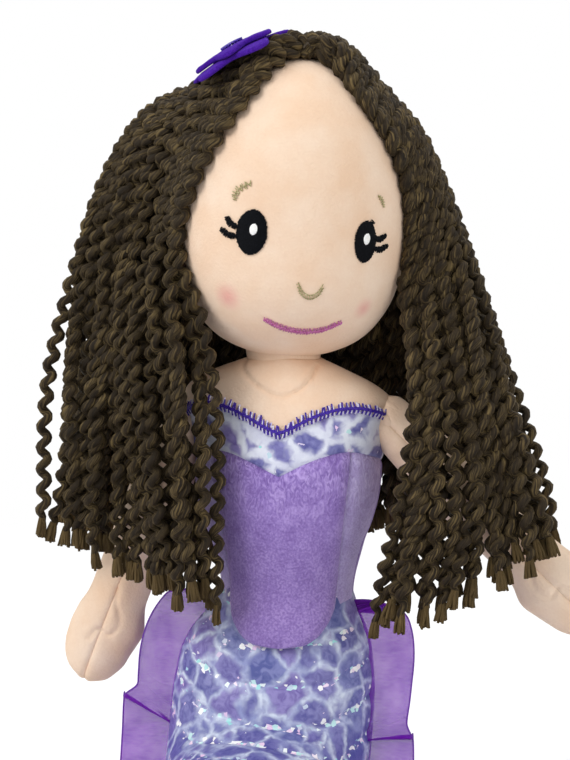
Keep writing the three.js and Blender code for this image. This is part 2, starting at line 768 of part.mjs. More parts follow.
function makeFlower() {
  const second = FELT + SEAM_GAP;
  const third = second + FELT + SEAM_GAP;
  const button = new THREE.CylinderGeometry(
    FLOWER_CENTRE_RADIUS,
    FLOWER_CENTRE_RADIUS,
    FLOWER_CENTRE,
    BUTTON_SIDES,
  );
  pieces.flower_lower_petals = onCrown(petalled(FLOWER_RADIUS, 0, FELT, 0));
  pieces.flower_upper_petals = onCrown(
    petalled(FLOWER_INNER_RADIUS, second, second + FELT, Math.PI / PETALS),
  );
  pieces.flower_centre = onCrown(
    solid(button.rotateX(Math.PI / 2).translate(0, 0, third + FLOWER_CENTRE / 2)),
  );
}

// A frill on the tail's left side: a strip of cloth that swings in folds along its outer edge
function frillForm() {
  const seam = new THREE.CatmullRomCurve3(
    FRILL_SEAM.map(([out, ahead, height]) => point(out, -ahead, height)),
  );
  const widths = new THREE.CatmullRomCurve3(FRILL_SEAM.map(([, , , width]) => point(width, 0, 0)));
  const steps = FRILL_FOLDS * FOLD_STEPS;
  const rings = Array.from({ length: steps + 1 }, (_, i) => {
    const share = i / steps;
    const at = seam.getPoint(share);
    const along = seam.getTangent(share);
    const face = point(-1, 0, 0).cross(along).normalize();
    const width = widths.getPoint(share).x;
    const fold = FRILL_WAVE * Math.sin(share * FRILL_FOLDS * 2 * Math.PI);
    const edge = (across, side) =>
      at
        .clone()
        .add(point(width * across, 0, 0))
        .addScaledVector(face, fold * across + (side * ORGANZA) / 2);
    return [edge(0, -1), edge(0.5, -1), edge(1, -1), edge(1, 1), edge(0.5, 1), edge(0, 1)];
  });
  return skinned(rings);
}

function makeFrills() {
  const under = tailForm(SEAM_GAP)
    .add(bodyForm(SEAM_GAP + STITCH))
    .add(block([-FAR, -FAR, -FAR], [FAR, FAR, SEAM_GAP]));
  const clear = 2 * SEAM_GAP;
  const left = frillForm();
  pieces.left_frill = largest(left.subtract(under).subtract(armForm(1, clear)));
  pieces.right_frill = largest(flipped(left).subtract(under).subtract(armForm(-1, clear)));
}

makeTail();
makeFin();
makeFrills();
makeBody();
makeArm(1, "left");
makeArm(-1, "right");
makeHead();
makeFace();
makeHair();
makeFlower();

const cloth = (color, roughness = 0.9) => new THREE.MeshStandardMaterial({ color, roughness });
const MATERIALS = {
  velour: cloth(0xf6dcc4),
  plush: cloth(0x9a7ac0),
  print: cloth(0x8d84c4, 0.35),
  organza: cloth(0xb48ad0, 0.6),
  felt: cloth(0x4a1f9a),
  yarn: cloth(0x3d321f),
  batting: cloth(0xf2f0ea),
  black_thread: cloth(0x14161c, 0.5),
  white_thread: cloth(0xf8f8f4, 0.5),
  olive_thread: cloth(0x8a8250, 0.5),
  pink_thread: cloth(0xb0558f, 0.4),
  violet_thread: cloth(0x4b2a9a, 0.3),
};

const LOOKS = [
  [/stuffing/, "batting"],
  [/frill/, "organza"],
  [/flower/, "felt"],
  [/hair/, "yarn"],
  [/highlight/, "white_thread"],
  [/eye/, "black_thread"],
  [/brow|nose/, "olive_thread"],
  [/mouth/, "pink_thread"],
  [/trim/, "violet_thread"],
  [/parting/, "black_thread"],
  [/band|belly|tail|fin/, "print"],
  [/bodice/, "plush"],
  [/./, "velour"],
];

// A solid as a mesh that stands at its own middle
function mesh(name, made) {
  const { numProp, vertProperties, triVerts } = made.asOriginal().simplify(SLIVER).getMesh();
  const geometry = new THREE.BufferGeometry();
  geometry.setAttribute("position", new THREE.BufferAttribute(vertProperties, numProp));
  geometry.setIndex(new THREE.BufferAttribute(triVerts, 1));
  geometry.computeBoundingBox();
  const middle = geometry.boundingBox.getCenter(point(0, 0, 0));
  geometry.translate(-middle.x, -middle.y, -middle.z);
  geometry.computeVertexNormals();
  const look = LOOKS.find(([pattern]) => pattern.test(name))[1];
  const piece = new THREE.Mesh(geometry, MATERIALS[look]);
  piece.name = name;
  piece.position.copy(middle);
  return piece;
}

const doll = new THREE.Group();
doll.name = "mermaid_doll";
for (const [name, made] of Object.entries(pieces)) doll.add(mesh(name, made));
export default doll;
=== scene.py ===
# A soft mermaid doll that sits: velour skin, plush bodice, foil-printed tail, organza frills, yarn curls
import math
from functools import partial

import bmesh
import bpy
import numpy as np
from mathutils import Matrix, Vector


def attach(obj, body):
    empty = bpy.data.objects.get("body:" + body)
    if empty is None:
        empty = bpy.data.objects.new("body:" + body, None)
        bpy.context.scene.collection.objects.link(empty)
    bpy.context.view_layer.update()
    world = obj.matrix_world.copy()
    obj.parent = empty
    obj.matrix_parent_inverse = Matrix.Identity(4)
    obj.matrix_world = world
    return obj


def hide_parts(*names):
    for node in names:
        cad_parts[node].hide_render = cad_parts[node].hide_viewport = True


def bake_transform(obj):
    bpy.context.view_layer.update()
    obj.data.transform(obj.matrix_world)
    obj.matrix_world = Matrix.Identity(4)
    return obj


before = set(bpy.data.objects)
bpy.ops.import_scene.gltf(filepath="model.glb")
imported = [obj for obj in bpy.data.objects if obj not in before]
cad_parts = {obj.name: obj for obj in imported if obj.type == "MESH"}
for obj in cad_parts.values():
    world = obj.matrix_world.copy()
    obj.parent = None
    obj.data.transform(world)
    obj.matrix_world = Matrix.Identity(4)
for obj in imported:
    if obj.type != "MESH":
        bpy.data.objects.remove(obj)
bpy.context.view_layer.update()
print("frame loaded:", len(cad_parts), "nodes")

metre = 0.001  # every size below is in millimetres until its mesh is made
scene = bpy.context.scene
rng = np.random.default_rng(11)  # one seed, so every run draws alike


# Small helpers

def linear(hexColour):
    parts = [int(hexColour[i:i + 2], 16) / 255 for i in (1, 3, 5)]
    return [p / 12.92 if p <= 0.04045 else ((p + 0.055) / 1.055) ** 2.4 for p in parts] + [1.0]


def smoothRows(rows, count):  # a smooth curve through rows of numbers
    rows = np.array(rows, float)
    t = np.linspace(0, len(rows) - 1, count)
    i = np.clip(t.astype(int), 0, len(rows) - 2)
    f = (t - i)[:, None]
    ends = np.vstack([2 * rows[0] - rows[1], rows, 2 * rows[-1] - rows[-2]])
    a, b, c, d = (ends[i + k] for k in range(4))
    return 0.5 * (2 * b + (c - a) * f + (2 * a - 5 * b + 4 * c - d) * f**2 + (3 * b - a - 3 * c + d) * f**3)


def column(table, at, index):  # a column of a table whose first column rises
    return np.interp(at, table[:, 0], table[:, index])


def smoothStep(x):
    x = np.clip(x, 0, 1)
    return x * x * (3 - 2 * x)


def unit(v):
    return v / np.maximum(np.linalg.norm(v, axis=-1, keepdims=True), 1e-9)


def lumps(points, size, seed=0.0):  # soft unevenness of stuffing, from -1 to 1
    p = points / size * 2 * math.pi
    total = np.zeros(points.shape[:-1])
    for k, (a, b, c) in enumerate([(0.9, 0.4, 0.3), (-0.3, 0.8, 0.5), (0.5, -0.2, 0.9), (0.7, 0.7, -0.4)]):
        total += np.sin(a * p[..., 0] + b * p[..., 1] + c * p[..., 2] + seed + 1.7 * k)
    return total / 4


def linked(name, data):
    obj = bpy.data.objects.new(name, data)
    scene.collection.objects.link(obj)
    return obj


def smoothObject(name, mesh):
    mesh.polygons.foreach_set("use_smooth", [True] * len(mesh.polygons))
    return linked(name, mesh)


def meshObject(name, points, faces):
    mesh = bpy.data.meshes.new(name)
    mesh.from_pydata((np.asarray(points, float) * metre).tolist(), [], faces)
    mesh.validate()
    return smoothObject(name, mesh)


def mergeDoubles(obj):
    bm = bmesh.new()
    bm.from_mesh(obj.data)
    bmesh.ops.remove_doubles(bm, verts=bm.verts, dist=1e-6)
    bmesh.ops.dissolve_degenerate(bm, edges=bm.edges, dist=1e-7)
    bmesh.ops.recalc_face_normals(bm, faces=bm.faces)
    bm.to_mesh(obj.data)
    bm.free()
    return obj


def gridNormals(grid, around):
    if around:
        wide = np.concatenate([grid[:, -1:], grid, grid[:, :1]], axis=1)
        across = wide[:, 2:] - wide[:, :-2]
    else:
        across = np.gradient(grid, axis=1)
    normals = np.cross(across, np.gradient(grid, axis=0))
    length = np.linalg.norm(normals, axis=2, keepdims=True)
    weak = length[..., 0] < 1e-5
    normals = normals / np.maximum(length, 1e-9)
    for row in (0, -1):  # a row that closes to one point takes its neighbours' direction
        if weak[row].any():
            normals[row] = unit(normals[1 if row == 0 else -2].mean(axis=0))
    return normals


def runLength(points, axis=0):  # distance along a row of points, from its first point
    steps = np.linalg.norm(np.diff(points, axis=axis), axis=-1).cumsum(axis)
    return np.insert(steps, 0, 0, axis=axis)


def fan(first, last, count, rows, endpoint=True):  # angles side by side, in half turns, the same in every row
    return np.linspace(first * math.pi, last * math.pi, count, endpoint=endpoint)[None] + 0 * rows


def gridFaces(rows, cols, around=False):
    pairs = [(r * cols + c, r * cols + (c + 1) % cols)
             for r in range(rows - 1) for c in range(cols if around else cols - 1)]
    return [(a, b, b + cols, a + cols) for a, b in pairs]


def closedShell(name, outer, inner, around=False):  # joins two grids of one size along their edges
    rows, cols = outer.shape[:2]
    size, top = rows * cols, (rows - 1) * cols
    faces = []
    for a, b, c, d in gridFaces(rows, cols, around):
        faces += [(a, b, c, d), (size + a, size + d, size + c, size + b)]
    for c in range(cols if around else cols - 1):
        n = (c + 1) % cols
        faces.append((c, size + c, size + n, n))
        faces.append((top + c, top + n, size + top + n, size + top + c))
    if not around:
        for a in range(0, top, cols):
            b, c, d = a + cols, a + cols - 1, a + 2 * cols - 1
            faces += [(a, b, size + b, size + a), (c, size + c, size + d, d)]
    return mergeDoubles(meshObject(name, np.concatenate([outer.reshape(-1, 3), inner.reshape(-1, 3)]), faces))


# A sewn panel: a closed shell over a grid of points, drawn in along its seams
def sewnPanel(name, grid, wall=1.2, around=False, draw=0.7, roll=3.5, swell=0.0, relief=None, seams="st"):
    normals = gridNormals(grid, around)
    edge = np.full(grid.shape[:2], 1e3)
    if "s" in seams and not around:
        along = runLength(grid, 1)
        edge = np.minimum(edge, np.minimum(along, along[:, -1:] - along))
    if "t" in seams:
        along = runLength(grid, 0)
        edge = np.minimum(edge, np.minimum(along, along[-1:] - along))
    lift = swell - draw * (1 - np.clip(edge / roll, 0, 1)) ** 2
    if relief is not None:
        lift = lift + relief(grid)
    return closedShell(name, grid + normals * lift[..., None], grid - normals * wall, around)


def groove(line, depth, width):  # a stitched line pressed into a surface
    dense = smoothRows(line, 40)

    def relief(points):
        flat = points.reshape(-1, 3)
        gap = np.min(np.linalg.norm(flat[:, None] - dense[None], axis=2), axis=1)
        return -depth * np.exp(-((gap / width) ** 2)).reshape(points.shape[:-1])
    return relief


def dress(obj, body, look, replaced=(), bend=None):  # a piece's cloth, body and solids
    slotName, material = looks[look]
    obj.data.materials.clear()
    obj.data.materials.append(material)
    if replaced:
        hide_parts(*replaced)
    if bend:
        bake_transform(obj)
    else:
        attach(obj, body)


# Materials

def addNode(tree, kind, inputs=None, stops=(), **settings):  # adds a node and gives back its outputs
    node = tree.nodes.new(kind if kind.startswith(("Geometry", "NodeGroup")) else "ShaderNode" + kind)
    for key, value in settings.items():
        setattr(node, key, value)
    for name, value in (inputs or {}).items():
        socket = node.inputs[name]
        if isinstance(value, bpy.types.NodeSocket):
            tree.links.new(value, socket)
        else:
            socket.default_value = linear(value) if isinstance(value, str) and value[0] == "#" else value
    for k, (place, colour) in enumerate(stops):
        element = node.color_ramp.elements[k] if k < 2 else node.color_ramp.elements.new(place)
        element.position, element.color = place, linear(colour)
    return node.outputs


def newMaterial(name):  # the scale of a pattern is 1000 over its size in mm
    material = bpy.data.materials.new(name)
    material.use_nodes = True
    material.node_tree.nodes.clear()
    add = partial(addNode, material.node_tree)
    return material, add, add("TexCoord")["Object"]


def finishCloth(material, add, height, depth, strength, values):  # depth of the relief in mm
    bump = add("Bump", {"Height": height, "Distance": depth * metre, "Strength": strength})[0]
    shader = add("BsdfPrincipled", {"Normal": bump, **values})[0]
    add("OutputMaterial", {"Surface": shader})
    return material


# Velour: brushed polyester knit with a one-millimetre pile, so matt, with a soft pale edge
def velourMaterial(name, blush=()):
    material, add, where = newMaterial(name)
    cloud = add("TexNoise", {"Vector": where, "Scale": 1000 / 17, "Detail": 3})["Fac"]
    colour = add("ValToRGB", {"Fac": cloud}, [(0.3, "#f2d1b3"), (0.7, "#fae3cc")])[0]
    pile = add("TexNoise", {"Vector": where, "Scale": 1000 / 0.9, "Detail": 3})["Fac"]  # coarse, to show
    share = add("Math", {0: pile, 1: 0.24}, operation="MULTIPLY")[0]
    colour = add("Mix", {0: share, 6: colour, 7: "#d9b093"}, data_type="RGBA")[2]
    for spot, radius, strength in blush:  # airbrushed cheeks
        near = add("VectorMath", {0: where, 1: tuple(spot * metre)}, operation="DISTANCE")["Value"]
        rough = add("Math", {0: pile, 1: 0.0024, 2: near}, operation="MULTIPLY_ADD")[0]
        fade = add("MapRange", {
            "Value": rough, "From Min": 0.1 * radius * metre, "From Max": 1.25 * radius * metre,
            "To Min": strength, "To Max": 0.0}, interpolation_type="SMOOTHSTEP")["Result"]
        colour = add("Mix", {0: fade, 6: colour, 7: "#e58f8d"}, data_type="RGBA")[2]
    soft = add("TexNoise", {"Vector": where, "Scale": 1000 / 3.2, "Detail": 2})["Fac"]
    height = add("Math", {0: soft, 1: 0.8, 2: pile}, operation="MULTIPLY_ADD")[0]
    return finishCloth(material, add, height, 0.28, 0.7, {
        "Base Color": colour, "Roughness": 0.85, "Sheen Weight": 0.25, "Sheen Roughness": 0.4,
        "Sheen Tint": "#fff2e4", "Specular IOR Level": 0.15})


# Plush: short dense pile brushed into squiggles near the chest, and lying flat lower down, where its colour
# is darker and plainer
def plushMaterial(name, shades, lowerColour):
    material, add, where = newMaterial(name)
    place = add("SeparateXYZ", {0: where})
    brushed = add("MapRange", {"Value": place["Z"], "From Min": 0.096, "From Max": 0.138},
                  interpolation_type="SMOOTHSTEP")["Result"]
    leaning = add("Mapping", {"Vector": where, "Rotation": (0, 0.5, 0), "Scale": (1, 1, 0.5)})[0]
    tuft = add("TexNoise", {"Vector": leaning, "Scale": 1000 / 2.3, "Detail": 3, "Distortion": 2.8})["Fac"]
    grain = add("TexNoise", {"Vector": where, "Scale": 1000 / 0.8, "Detail": 2})["Fac"]
    pile = add("Mix", {0: brushed, 2: grain, 3: tuft})[0]
    lie = add("TexNoise", {"Vector": where, "Scale": 1000 / 7, "Detail": 3})["Fac"]
    both = add("Mix", {0: 0.7, 2: lie, 3: pile})[0]
    colour = add("ValToRGB", {"Fac": both}, list(zip((0.36, 0.5, 0.64), shades)))[0]
    dull = add("MapRange", {"Value": brushed, "To Min": 0.5, "To Max": 0.0})["Result"]
    colour = add("Mix", {0: dull, 6: colour, 7: lowerColour}, data_type="RGBA")[2]
    return finishCloth(material, add, both, 0.8, 0.9, {
        "Base Color": colour, "Roughness": 0.8, "Sheen Weight": 0.75, "Sheen Roughness": 0.45,
        "Sheen Tint": "#e3d8f6", "Specular IOR Level": 0.12})


# Foil print: knit printed with blurred blue and violet cells, under a broken film of clear foil
def foilMaterial():
    material, add, where = newMaterial("foilPrintedKnit")
    cellScale = 1000 / 10.5
    push = add("TexNoise", {"Vector": where, "Scale": 1000 / 8})["Color"]
    bent = add("VectorMath", {0: push, 1: (0.007, 0.007, 0.007), 2: where}, operation="MULTIPLY_ADD")[0]
    cells = add("TexVoronoi", {"Vector": bent, "Scale": cellScale}, feature="DISTANCE_TO_EDGE")["Distance"]
    hue = add("TexVoronoi", {"Vector": bent, "Scale": cellScale})["Color"]
    pick = add("SeparateColor", {0: hue})[0]
    inside = add("ValToRGB", {"Fac": pick}, [
        (0.15, "#56579c"), (0.45, "#6a66a8"), (0.7, "#8a70b8"), (0.9, "#5c68a6")])[0]
    mottle = add("TexNoise", {"Vector": where, "Scale": 1000 / 3.4, "Detail": 4, "Distortion": 1.2})["Fac"]
    stain = add("ValToRGB", {"Fac": mottle}, [(0.36, "#45478f"), (0.64, "#a3a4d6")])[0]
    inside = add("Mix", {0: 0.45, 6: inside, 7: stain}, data_type="RGBA")[2]
    height = add("SeparateXYZ", {0: where})["Z"]
    # painted shade: low on the tail the print's cells are painted darker and bluer, towards the floor
    deep = add("MapRange", {"Value": height, "From Min": 0.052, "From Max": 0.036, "To Max": 0.55})["Result"]
    inside = add("Mix", {0: deep, 6: inside, 7: "#3f3d9c"}, data_type="RGBA")[2]  # deeper near the floor
    cloud = add("TexNoise", {"Vector": where, "Scale": 1000 / 6, "Detail": 3})["Fac"]
    veil = add("ValToRGB", {"Fac": cloud}, [(0.35, "#949ccb"), (0.65, "#dde7f7")])[0]
    band = add("MapRange", {"Value": height, "From Min": 0.11, "From Max": 0.115})["Result"]  # on the chest
    pale = add("Math", {0: band, 1: 0.6}, operation="MULTIPLY")[0]
    veil = add("Mix", {0: pale, 6: veil, 7: "#f1f2fb"}, data_type="RGBA")[2]
    blur = add("Math", {0: mottle, 1: 0.24, 2: cells}, operation="MULTIPLY_ADD")[0]
    blur = add("Math", {0: band, 1: -0.07, 2: blur}, operation="MULTIPLY_ADD")[0]
    edge = add("MapRange", {"Value": blur, "From Min": 0.09, "From Max": 0.29},
               interpolation_type="SMOOTHSTEP")["Result"]
    colour = add("Mix", {0: edge, 6: veil, 7: inside}, data_type="RGBA")[2]
    fleck = add("TexVoronoi", {"Vector": where, "Scale": 1000 / 1.6})["Color"]  # big, to show
    chance = add("SeparateColor", {0: fleck})
    # painted glints: along the creases some flecks are painted white, pale cyan and pink, with lower
    # roughness there
    crease = add("Attribute", attribute_name="crease")["Fac"]
    near = add("Math", {0: cloud, 1: 0.5, 2: chance[0]}, operation="MULTIPLY_ADD")[0]
    near = add("Math", {0: crease, 1: 0.62, 2: near}, operation="MULTIPLY_ADD")[0]
    paintedGlint = add("Math", {0: near, 1: 1.27}, operation="GREATER_THAN")[0]
    paintedGlintColour = add("ValToRGB", {"Fac": chance[1]}, [
        (0.0, "#ffffff"), (0.4, "#a4e8ea"), (0.55, "#f3cdf2"), (0.8, "#ffffff")])[0]
    colour = add("Mix", {0: paintedGlint, 6: colour, 7: paintedGlintColour}, data_type="RGBA")[2]
    rough = add("MapRange", {"Value": paintedGlint, "To Min": 0.42, "To Max": 0.2})["Result"]
    wrinkle = add("TexNoise", {"Vector": where, "Scale": 1000 / 2.2, "Detail": 3})["Fac"]
    relief = add("Math", {0: chance[2], 1: 0.5, 2: wrinkle}, operation="MULTIPLY_ADD")[0]
    return finishCloth(material, add, relief, 0.22, 0.8, {
        "Base Color": colour, "Roughness": rough, "Specular IOR Level": 0.5})


# Organza: fine crisp weave that is see-through, darker where it lies double
def organzaMaterial():
    material, add, where = newMaterial("organza")
    threads = add("Mapping", {"Vector": where, "Scale": (1, 1, 5)})[0]
    weave = add("TexNoise", {"Vector": threads, "Scale": 1000 / 2.4, "Detail": 2})["Fac"]  # coarse, to show
    cloud = add("TexNoise", {"Vector": where, "Scale": 1000 / 9, "Detail": 2})["Fac"]
    both = add("Mix", {0: 0.6, 2: weave, 3: cloud})[0]
    colour = add("ValToRGB", {"Fac": both}, [(0.35, "#7a18ba"), (0.65, "#9432cc")])[0]
    alpha = add("MapRange", {
        "Value": both, "From Min": 0.3, "From Max": 0.7, "To Min": 0.68, "To Max": 0.52})["Result"]
    return finishCloth(material, add, weave, 0.08, 0.5, {
        "Base Color": colour, "Alpha": alpha, "Roughness": 0.45, "Specular IOR Level": 0.2})


# Wool felt: matted fibre with a faint fuzz
def feltMaterial():
    material, add, where = newMaterial("woolFelt")
    fibre = add("TexNoise", {"Vector": where, "Scale": 1000 / 0.7, "Detail": 5, "Distortion": 1.5})["Fac"]
    colour = add("ValToRGB", {"Fac": fibre}, [(0.3, "#33117a"), (0.7, "#5424ab")])[0]
    return finishCloth(material, add, fibre, 0.35, 0.9, {
        "Base Color": colour, "Roughness": 0.95, "Sheen Weight": 0.35, "Sheen Roughness": 0.4,
        "Sheen Tint": "#8a62e0", "Specular IOR Level": 0.1})


# Yarn: soft acrylic, twisted, so its fibres run round it aslant and catch the light in thin lines
def yarnMaterial():
    material, add, where = newMaterial("acrylicYarn")
    along, aroundIt, shade, tip = (add("Attribute", attribute_name=label)["Fac"]
                                   for label in ("yarnAlong", "yarnRound", "yarnShade", "yarnTip"))
    twist = add("Math", {0: along, 1: 70.0, 2: aroundIt}, operation="MULTIPLY_ADD")[0]  # turns in a metre
    place = add("CombineXYZ", {"X": twist, "Y": along, "Z": shade})[0]
    place = add("Mapping", {"Vector": place, "Scale": (15, 120, 50)})[0]
    fibre = add("TexNoise", {"Vector": place, "Scale": 1.0, "Detail": 3})["Fac"]
    cloud = add("TexNoise", {"Vector": where, "Scale": 1000 / 5, "Detail": 3})["Fac"]
    both = add("Mix", {0: 0.75, 2: cloud, 3: fibre})[0]
    colour = add("ValToRGB", {"Fac": both}, [(0.36, "#120c05"), (0.5, "#34291a"), (0.64, "#7d6a44")])[0]
    dark = add("MapRange", {"Value": shade, "To Min": 0.6, "To Max": 0.14})["Result"]
    colour = add("Mix", {0: dark, 6: colour, 7: "#1f170c"}, data_type="RGBA")[2]
    pale = add("Math", {0: tip, 1: 0.45}, operation="MULTIPLY")[0]
    colour = add("Mix", {0: pale, 6: colour, 7: "#77613a"}, data_type="RGBA")[2]
    return finishCloth(material, add, fibre, 0.4, 1.0, {
        "Base Color": colour, "Roughness": 0.75, "Sheen Weight": 0.2, "Sheen Roughness": 0.4,
        "Sheen Tint": "#a8926a", "Specular IOR Level": 0.2})


# Embroidery thread: twisted rayon; its shine is painted, as a lighter second colour mixed in by a fine noise
def threadMaterial(name, colour, light, shine=0.3):
    material, add, where = newMaterial(name)
    twist = add("TexNoise", {"Vector": where, "Scale": 1000 / 0.5, "Detail": 2})["Fac"]
    mixed = add("ValToRGB", {"Fac": twist}, [(0.35, colour), (0.7, light)])[0]
    return finishCloth(material, add, twist, 0.08, 0.6, {
        "Base Color": mixed, "Roughness": 0.5, "Specular IOR Level": shine})


looks = {  # each look's material slot and material
    "velour": ("velour", velourMaterial("brushedVelour")),
    "plush": ("plush", plushMaterial("plushPile", ("#7d60aa", "#9c82c8", "#bfa6e4"), "#8b72ae")),
    "plushSide": ("plush", plushMaterial("plushPileBrushedBack", (
        "#a491c6", "#bcabdc", "#d6c9ee"), "#ad9ec8")),  # a paler copy of the plush, painted light for the side panels
    "foil": ("foil_print", foilMaterial()),
    "organza": ("organza", organzaMaterial()),
    "felt": ("felt", feltMaterial()),
    "yarn": ("yarn", yarnMaterial()),
    "black": ("black_thread", threadMaterial("blackRayonThread", "#07080b", "#101217", 0.06)),
    "white": ("white_thread", threadMaterial("whiteRayonThread", "#f8f8f4", "#ffffff")),
    "olive": ("olive_thread", threadMaterial("oliveRayonThread", "#8a8252", "#d8cda2")),
    "pink": ("pink_thread", threadMaterial("pinkRayonThread", "#ab4788", "#dc92c2")),
    "violet": ("violet_thread", threadMaterial("violetMetallicThread", "#2a1380", "#5233b4")),
    "silver": ("foil_print", threadMaterial("silverMetallicThread", "#c4bbe6", "#ffffff", 0.5)),
    "hem": ("violet_thread", threadMaterial("rolledHemThread", "#5d2596", "#7a3fb0")),
    "brown": ("black_thread", threadMaterial("brownPolyesterThread", "#2c2316", "#4a3c28")),
}
print("materials made:", len(looks))


# Sweeping threads and yarn along lines with Geometry Nodes

def sweepTree():
    tree = bpy.data.node_groups.new("sweptStrands", "GeometryNodeTree")
    add = partial(addNode, tree)
    face = tree.interface
    face.new_socket("Lines", in_out="INPUT", socket_type="NodeSocketGeometry")
    for label, start in (("Radius", 0.0003), ("Step", 0.0006), ("Curl Radius", 0.0)):
        face.new_socket(label, in_out="INPUT", socket_type="NodeSocketFloat").default_value = start
    face.new_socket("Sides", in_out="INPUT", socket_type="NodeSocketInt").default_value = 6
    face.new_socket("Material", in_out="INPUT", socket_type="NodeSocketMaterial")
    face.new_socket("Strands", in_out="OUTPUT", socket_type="NodeSocketGeometry")

    given = add("NodeGroupInput")
    curve = add("GeometryNodeMeshToCurve", {"Mesh": given["Lines"]})[0]
    curve = add("GeometryNodeResampleCurve", {"Curve": curve, "Length": given["Step"]}, mode="LENGTH")[0]
    length = add("GeometryNodeSplineParameter")["Length"]
    loose, width, turns, phase = (
        add("GeometryNodeInputNamedAttribute", {"Name": label}, data_type="FLOAT")[0]
        for label in ("loose", "width", "turns", "phase"))
    turn = add("Math", {0: length, 1: turns, 2: phase}, operation="MULTIPLY_ADD")[0]
    reach = add("Math", {0: loose, 1: given["Curl Radius"]}, operation="MULTIPLY")[0]
    tangent = add("GeometryNodeInputTangent")[0]
    normal = add("GeometryNodeInputNormal")[0]
    way = add("VectorRotate", {"Vector": normal, "Axis": tangent, "Angle": turn})[0]
    offset = add("VectorMath", {0: way, "Scale": reach}, operation="SCALE")[0]
    curve = add("GeometryNodeSetPosition", {"Geometry": curve, "Offset": offset})[0]
    curve = add("GeometryNodeStoreNamedAttribute", {"Geometry": curve, "Name": "yarnAlong", "Value": length},
                data_type="FLOAT", domain="POINT")[0]
    profile = add("GeometryNodeCurvePrimitiveCircle", {"Resolution": given["Sides"], "Radius": 1.0})[0]
    share = add("GeometryNodeSplineParameter")["Factor"]
    profile = add("GeometryNodeStoreNamedAttribute", {
        "Geometry": profile, "Name": "yarnRound", "Value": share}, data_type="FLOAT", domain="POINT")[0]
    radius = add("Math", {0: given["Radius"], 1: width}, operation="MULTIPLY")[0]
    made = add("GeometryNodeCurveToMesh", {
        "Curve": curve, "Profile Curve": profile, "Scale": radius, "Fill Caps": True})[0]
    made = add("GeometryNodeSetShadeSmooth", {"Geometry": made})[0]
    made = add("GeometryNodeRealizeInstances", {"Geometry": made})[0]
    made = add("GeometryNodeSetMaterial", {"Geometry": made, "Material": given["Material"]})[0]
    add("NodeGroupOutput", {"Strands": made})
    return tree


strandTree = sweepTree()
twisting = {  # a strand curls in after its root and out before its tip, over these lengths
    "rootRun": 10, "tipRun": 6, "uneven": 0.4, "pitchLeast": 0.88, "pitchSpread": 0.26, "phaseSpread": 40}


# lines is a list of rows of points in mm; the result is one plain mesh
def sweptPiece(name, lines, look, radius, step=0.6, sides=6, curl=0.0, pitch=6.0, taper=0.0, tip=0.0):
    points, edges = [], []
    values = {label: [] for label in ("loose", "width", "turns", "phase", "yarnShade", "yarnTip")}
    for line in lines:
        line = np.asarray(line)
        first, count, chance = len(points), len(line), rng.random()
        run = runLength(line)
        left = (run[-1] - run) / twisting["tipRun"]
        points += (line * metre).tolist()
        edges += [(first + i, first + i + 1) for i in range(count - 1)]
        thick = 1 + taper * twisting["uneven"] * (chance - 0.5)
        values["loose"] += list(np.minimum(run / twisting["rootRun"], 1) * np.minimum(left, 1))
        values["width"] += list(thick * (1 - taper * np.clip(1 - left, 0, 1)))
        pitchNow = pitch * (twisting["pitchLeast"] + twisting["pitchSpread"] * chance)
        values["turns"] += [2 * math.pi / (pitchNow * metre)] * count
        values["phase"] += [twisting["phaseSpread"] * chance] * count
        values["yarnShade"] += [chance] * count
        values["yarnTip"] += [tip] * count
    mesh = bpy.data.meshes.new(name + "Lines")
    mesh.from_pydata(points, edges, [])
    for label, numbers in values.items():
        mesh.attributes.new(label, "FLOAT", "POINT").data.foreach_set("value", numbers)
    raw = linked(name + "Raw", mesh)
    modifier = raw.modifiers.new("sweep", "NODES")
    modifier.node_group = strandTree
    given = {"Radius": radius * metre, "Step": step * metre, "Curl Radius": curl * metre, "Sides": sides,
             "Material": looks[look][1]}
    for item in strandTree.interface.items_tree:
        if item.in_out == "INPUT" and item.name in given:
            modifier[item.identifier] = given[item.name]
    bpy.context.view_layer.update()
    evaluated = raw.evaluated_get(bpy.context.evaluated_depsgraph_get())
    final = bpy.data.meshes.new_from_object(evaluated)
    final.name = name
    bpy.data.objects.remove(raw)
    return smoothObject(name, final)


# Body

body = {
    "sections": [  # height, half width, half depth
        [40, 34, 28], [62, 33.5, 26.5], [74, 31, 24.5], [82, 26.4, 22.5], [89, 23.2, 20.7], [106, 26.4, 21.8],
        [115, 30, 22.6], [124, 32.2, 23.2], [136, 33.4, 23.4], [146, 34.6, 22.6], [152, 35.8, 21.2],
        [157, 37, 19.4], [160, 36.4, 17.8], [163, 33.6, 16.5], [165.8, 29, 15.5], [168.3, 23, 14.3],
        [170.6, 17.2, 13.2], [172.3, 13, 12.2], [173.2, 11.2, 11.4],
    ],
    "neckline": [[0, 148.4], [4, 150.4], [9, 153.6], [15, 156.4], [21, 157.2], [27, 155], [36, 149]],
    "bandFoot": [[0, 133], [9, 137.5], [18, 141], [26, 140], [36, 134]],
    "neckSeam": [[-13.6, 172], [-14.2, 168.6], [-8, 163.2], [-1, 160.4], [4.5, 161.8], [9.3, 166.2],
                 [11.4, 171.4]],
    "princessSeam": [[0, 73.6], [9, 75], [14.5, 79.6], [18.4, 89], [21, 110], [24.6, 146]],
    "backNeckline": 151, "backBandFoot": 136, "bodiceFoot": 85, "top": 173,
    "lean": 0.05, "leanFrom": 150, "leanOver": 14,  # the doll's left shoulder is the lower one
    "edgeReach": 30.5, "backFrom": 78, "backOver": 24,  # half width of the edges, degrees to the back
    "tuck": 2.5, "overlap": 0.4,  # how far skin and plush run under the band
    "bellyRise": 2.0, "bellyBelow": 96, "bellyOver": 14,
}
bodyTable = smoothRows(body["sections"], 600)
necklineTable = smoothRows(body["neckline"], 80)
bandFootTable = smoothRows(body["bandFoot"], 60)


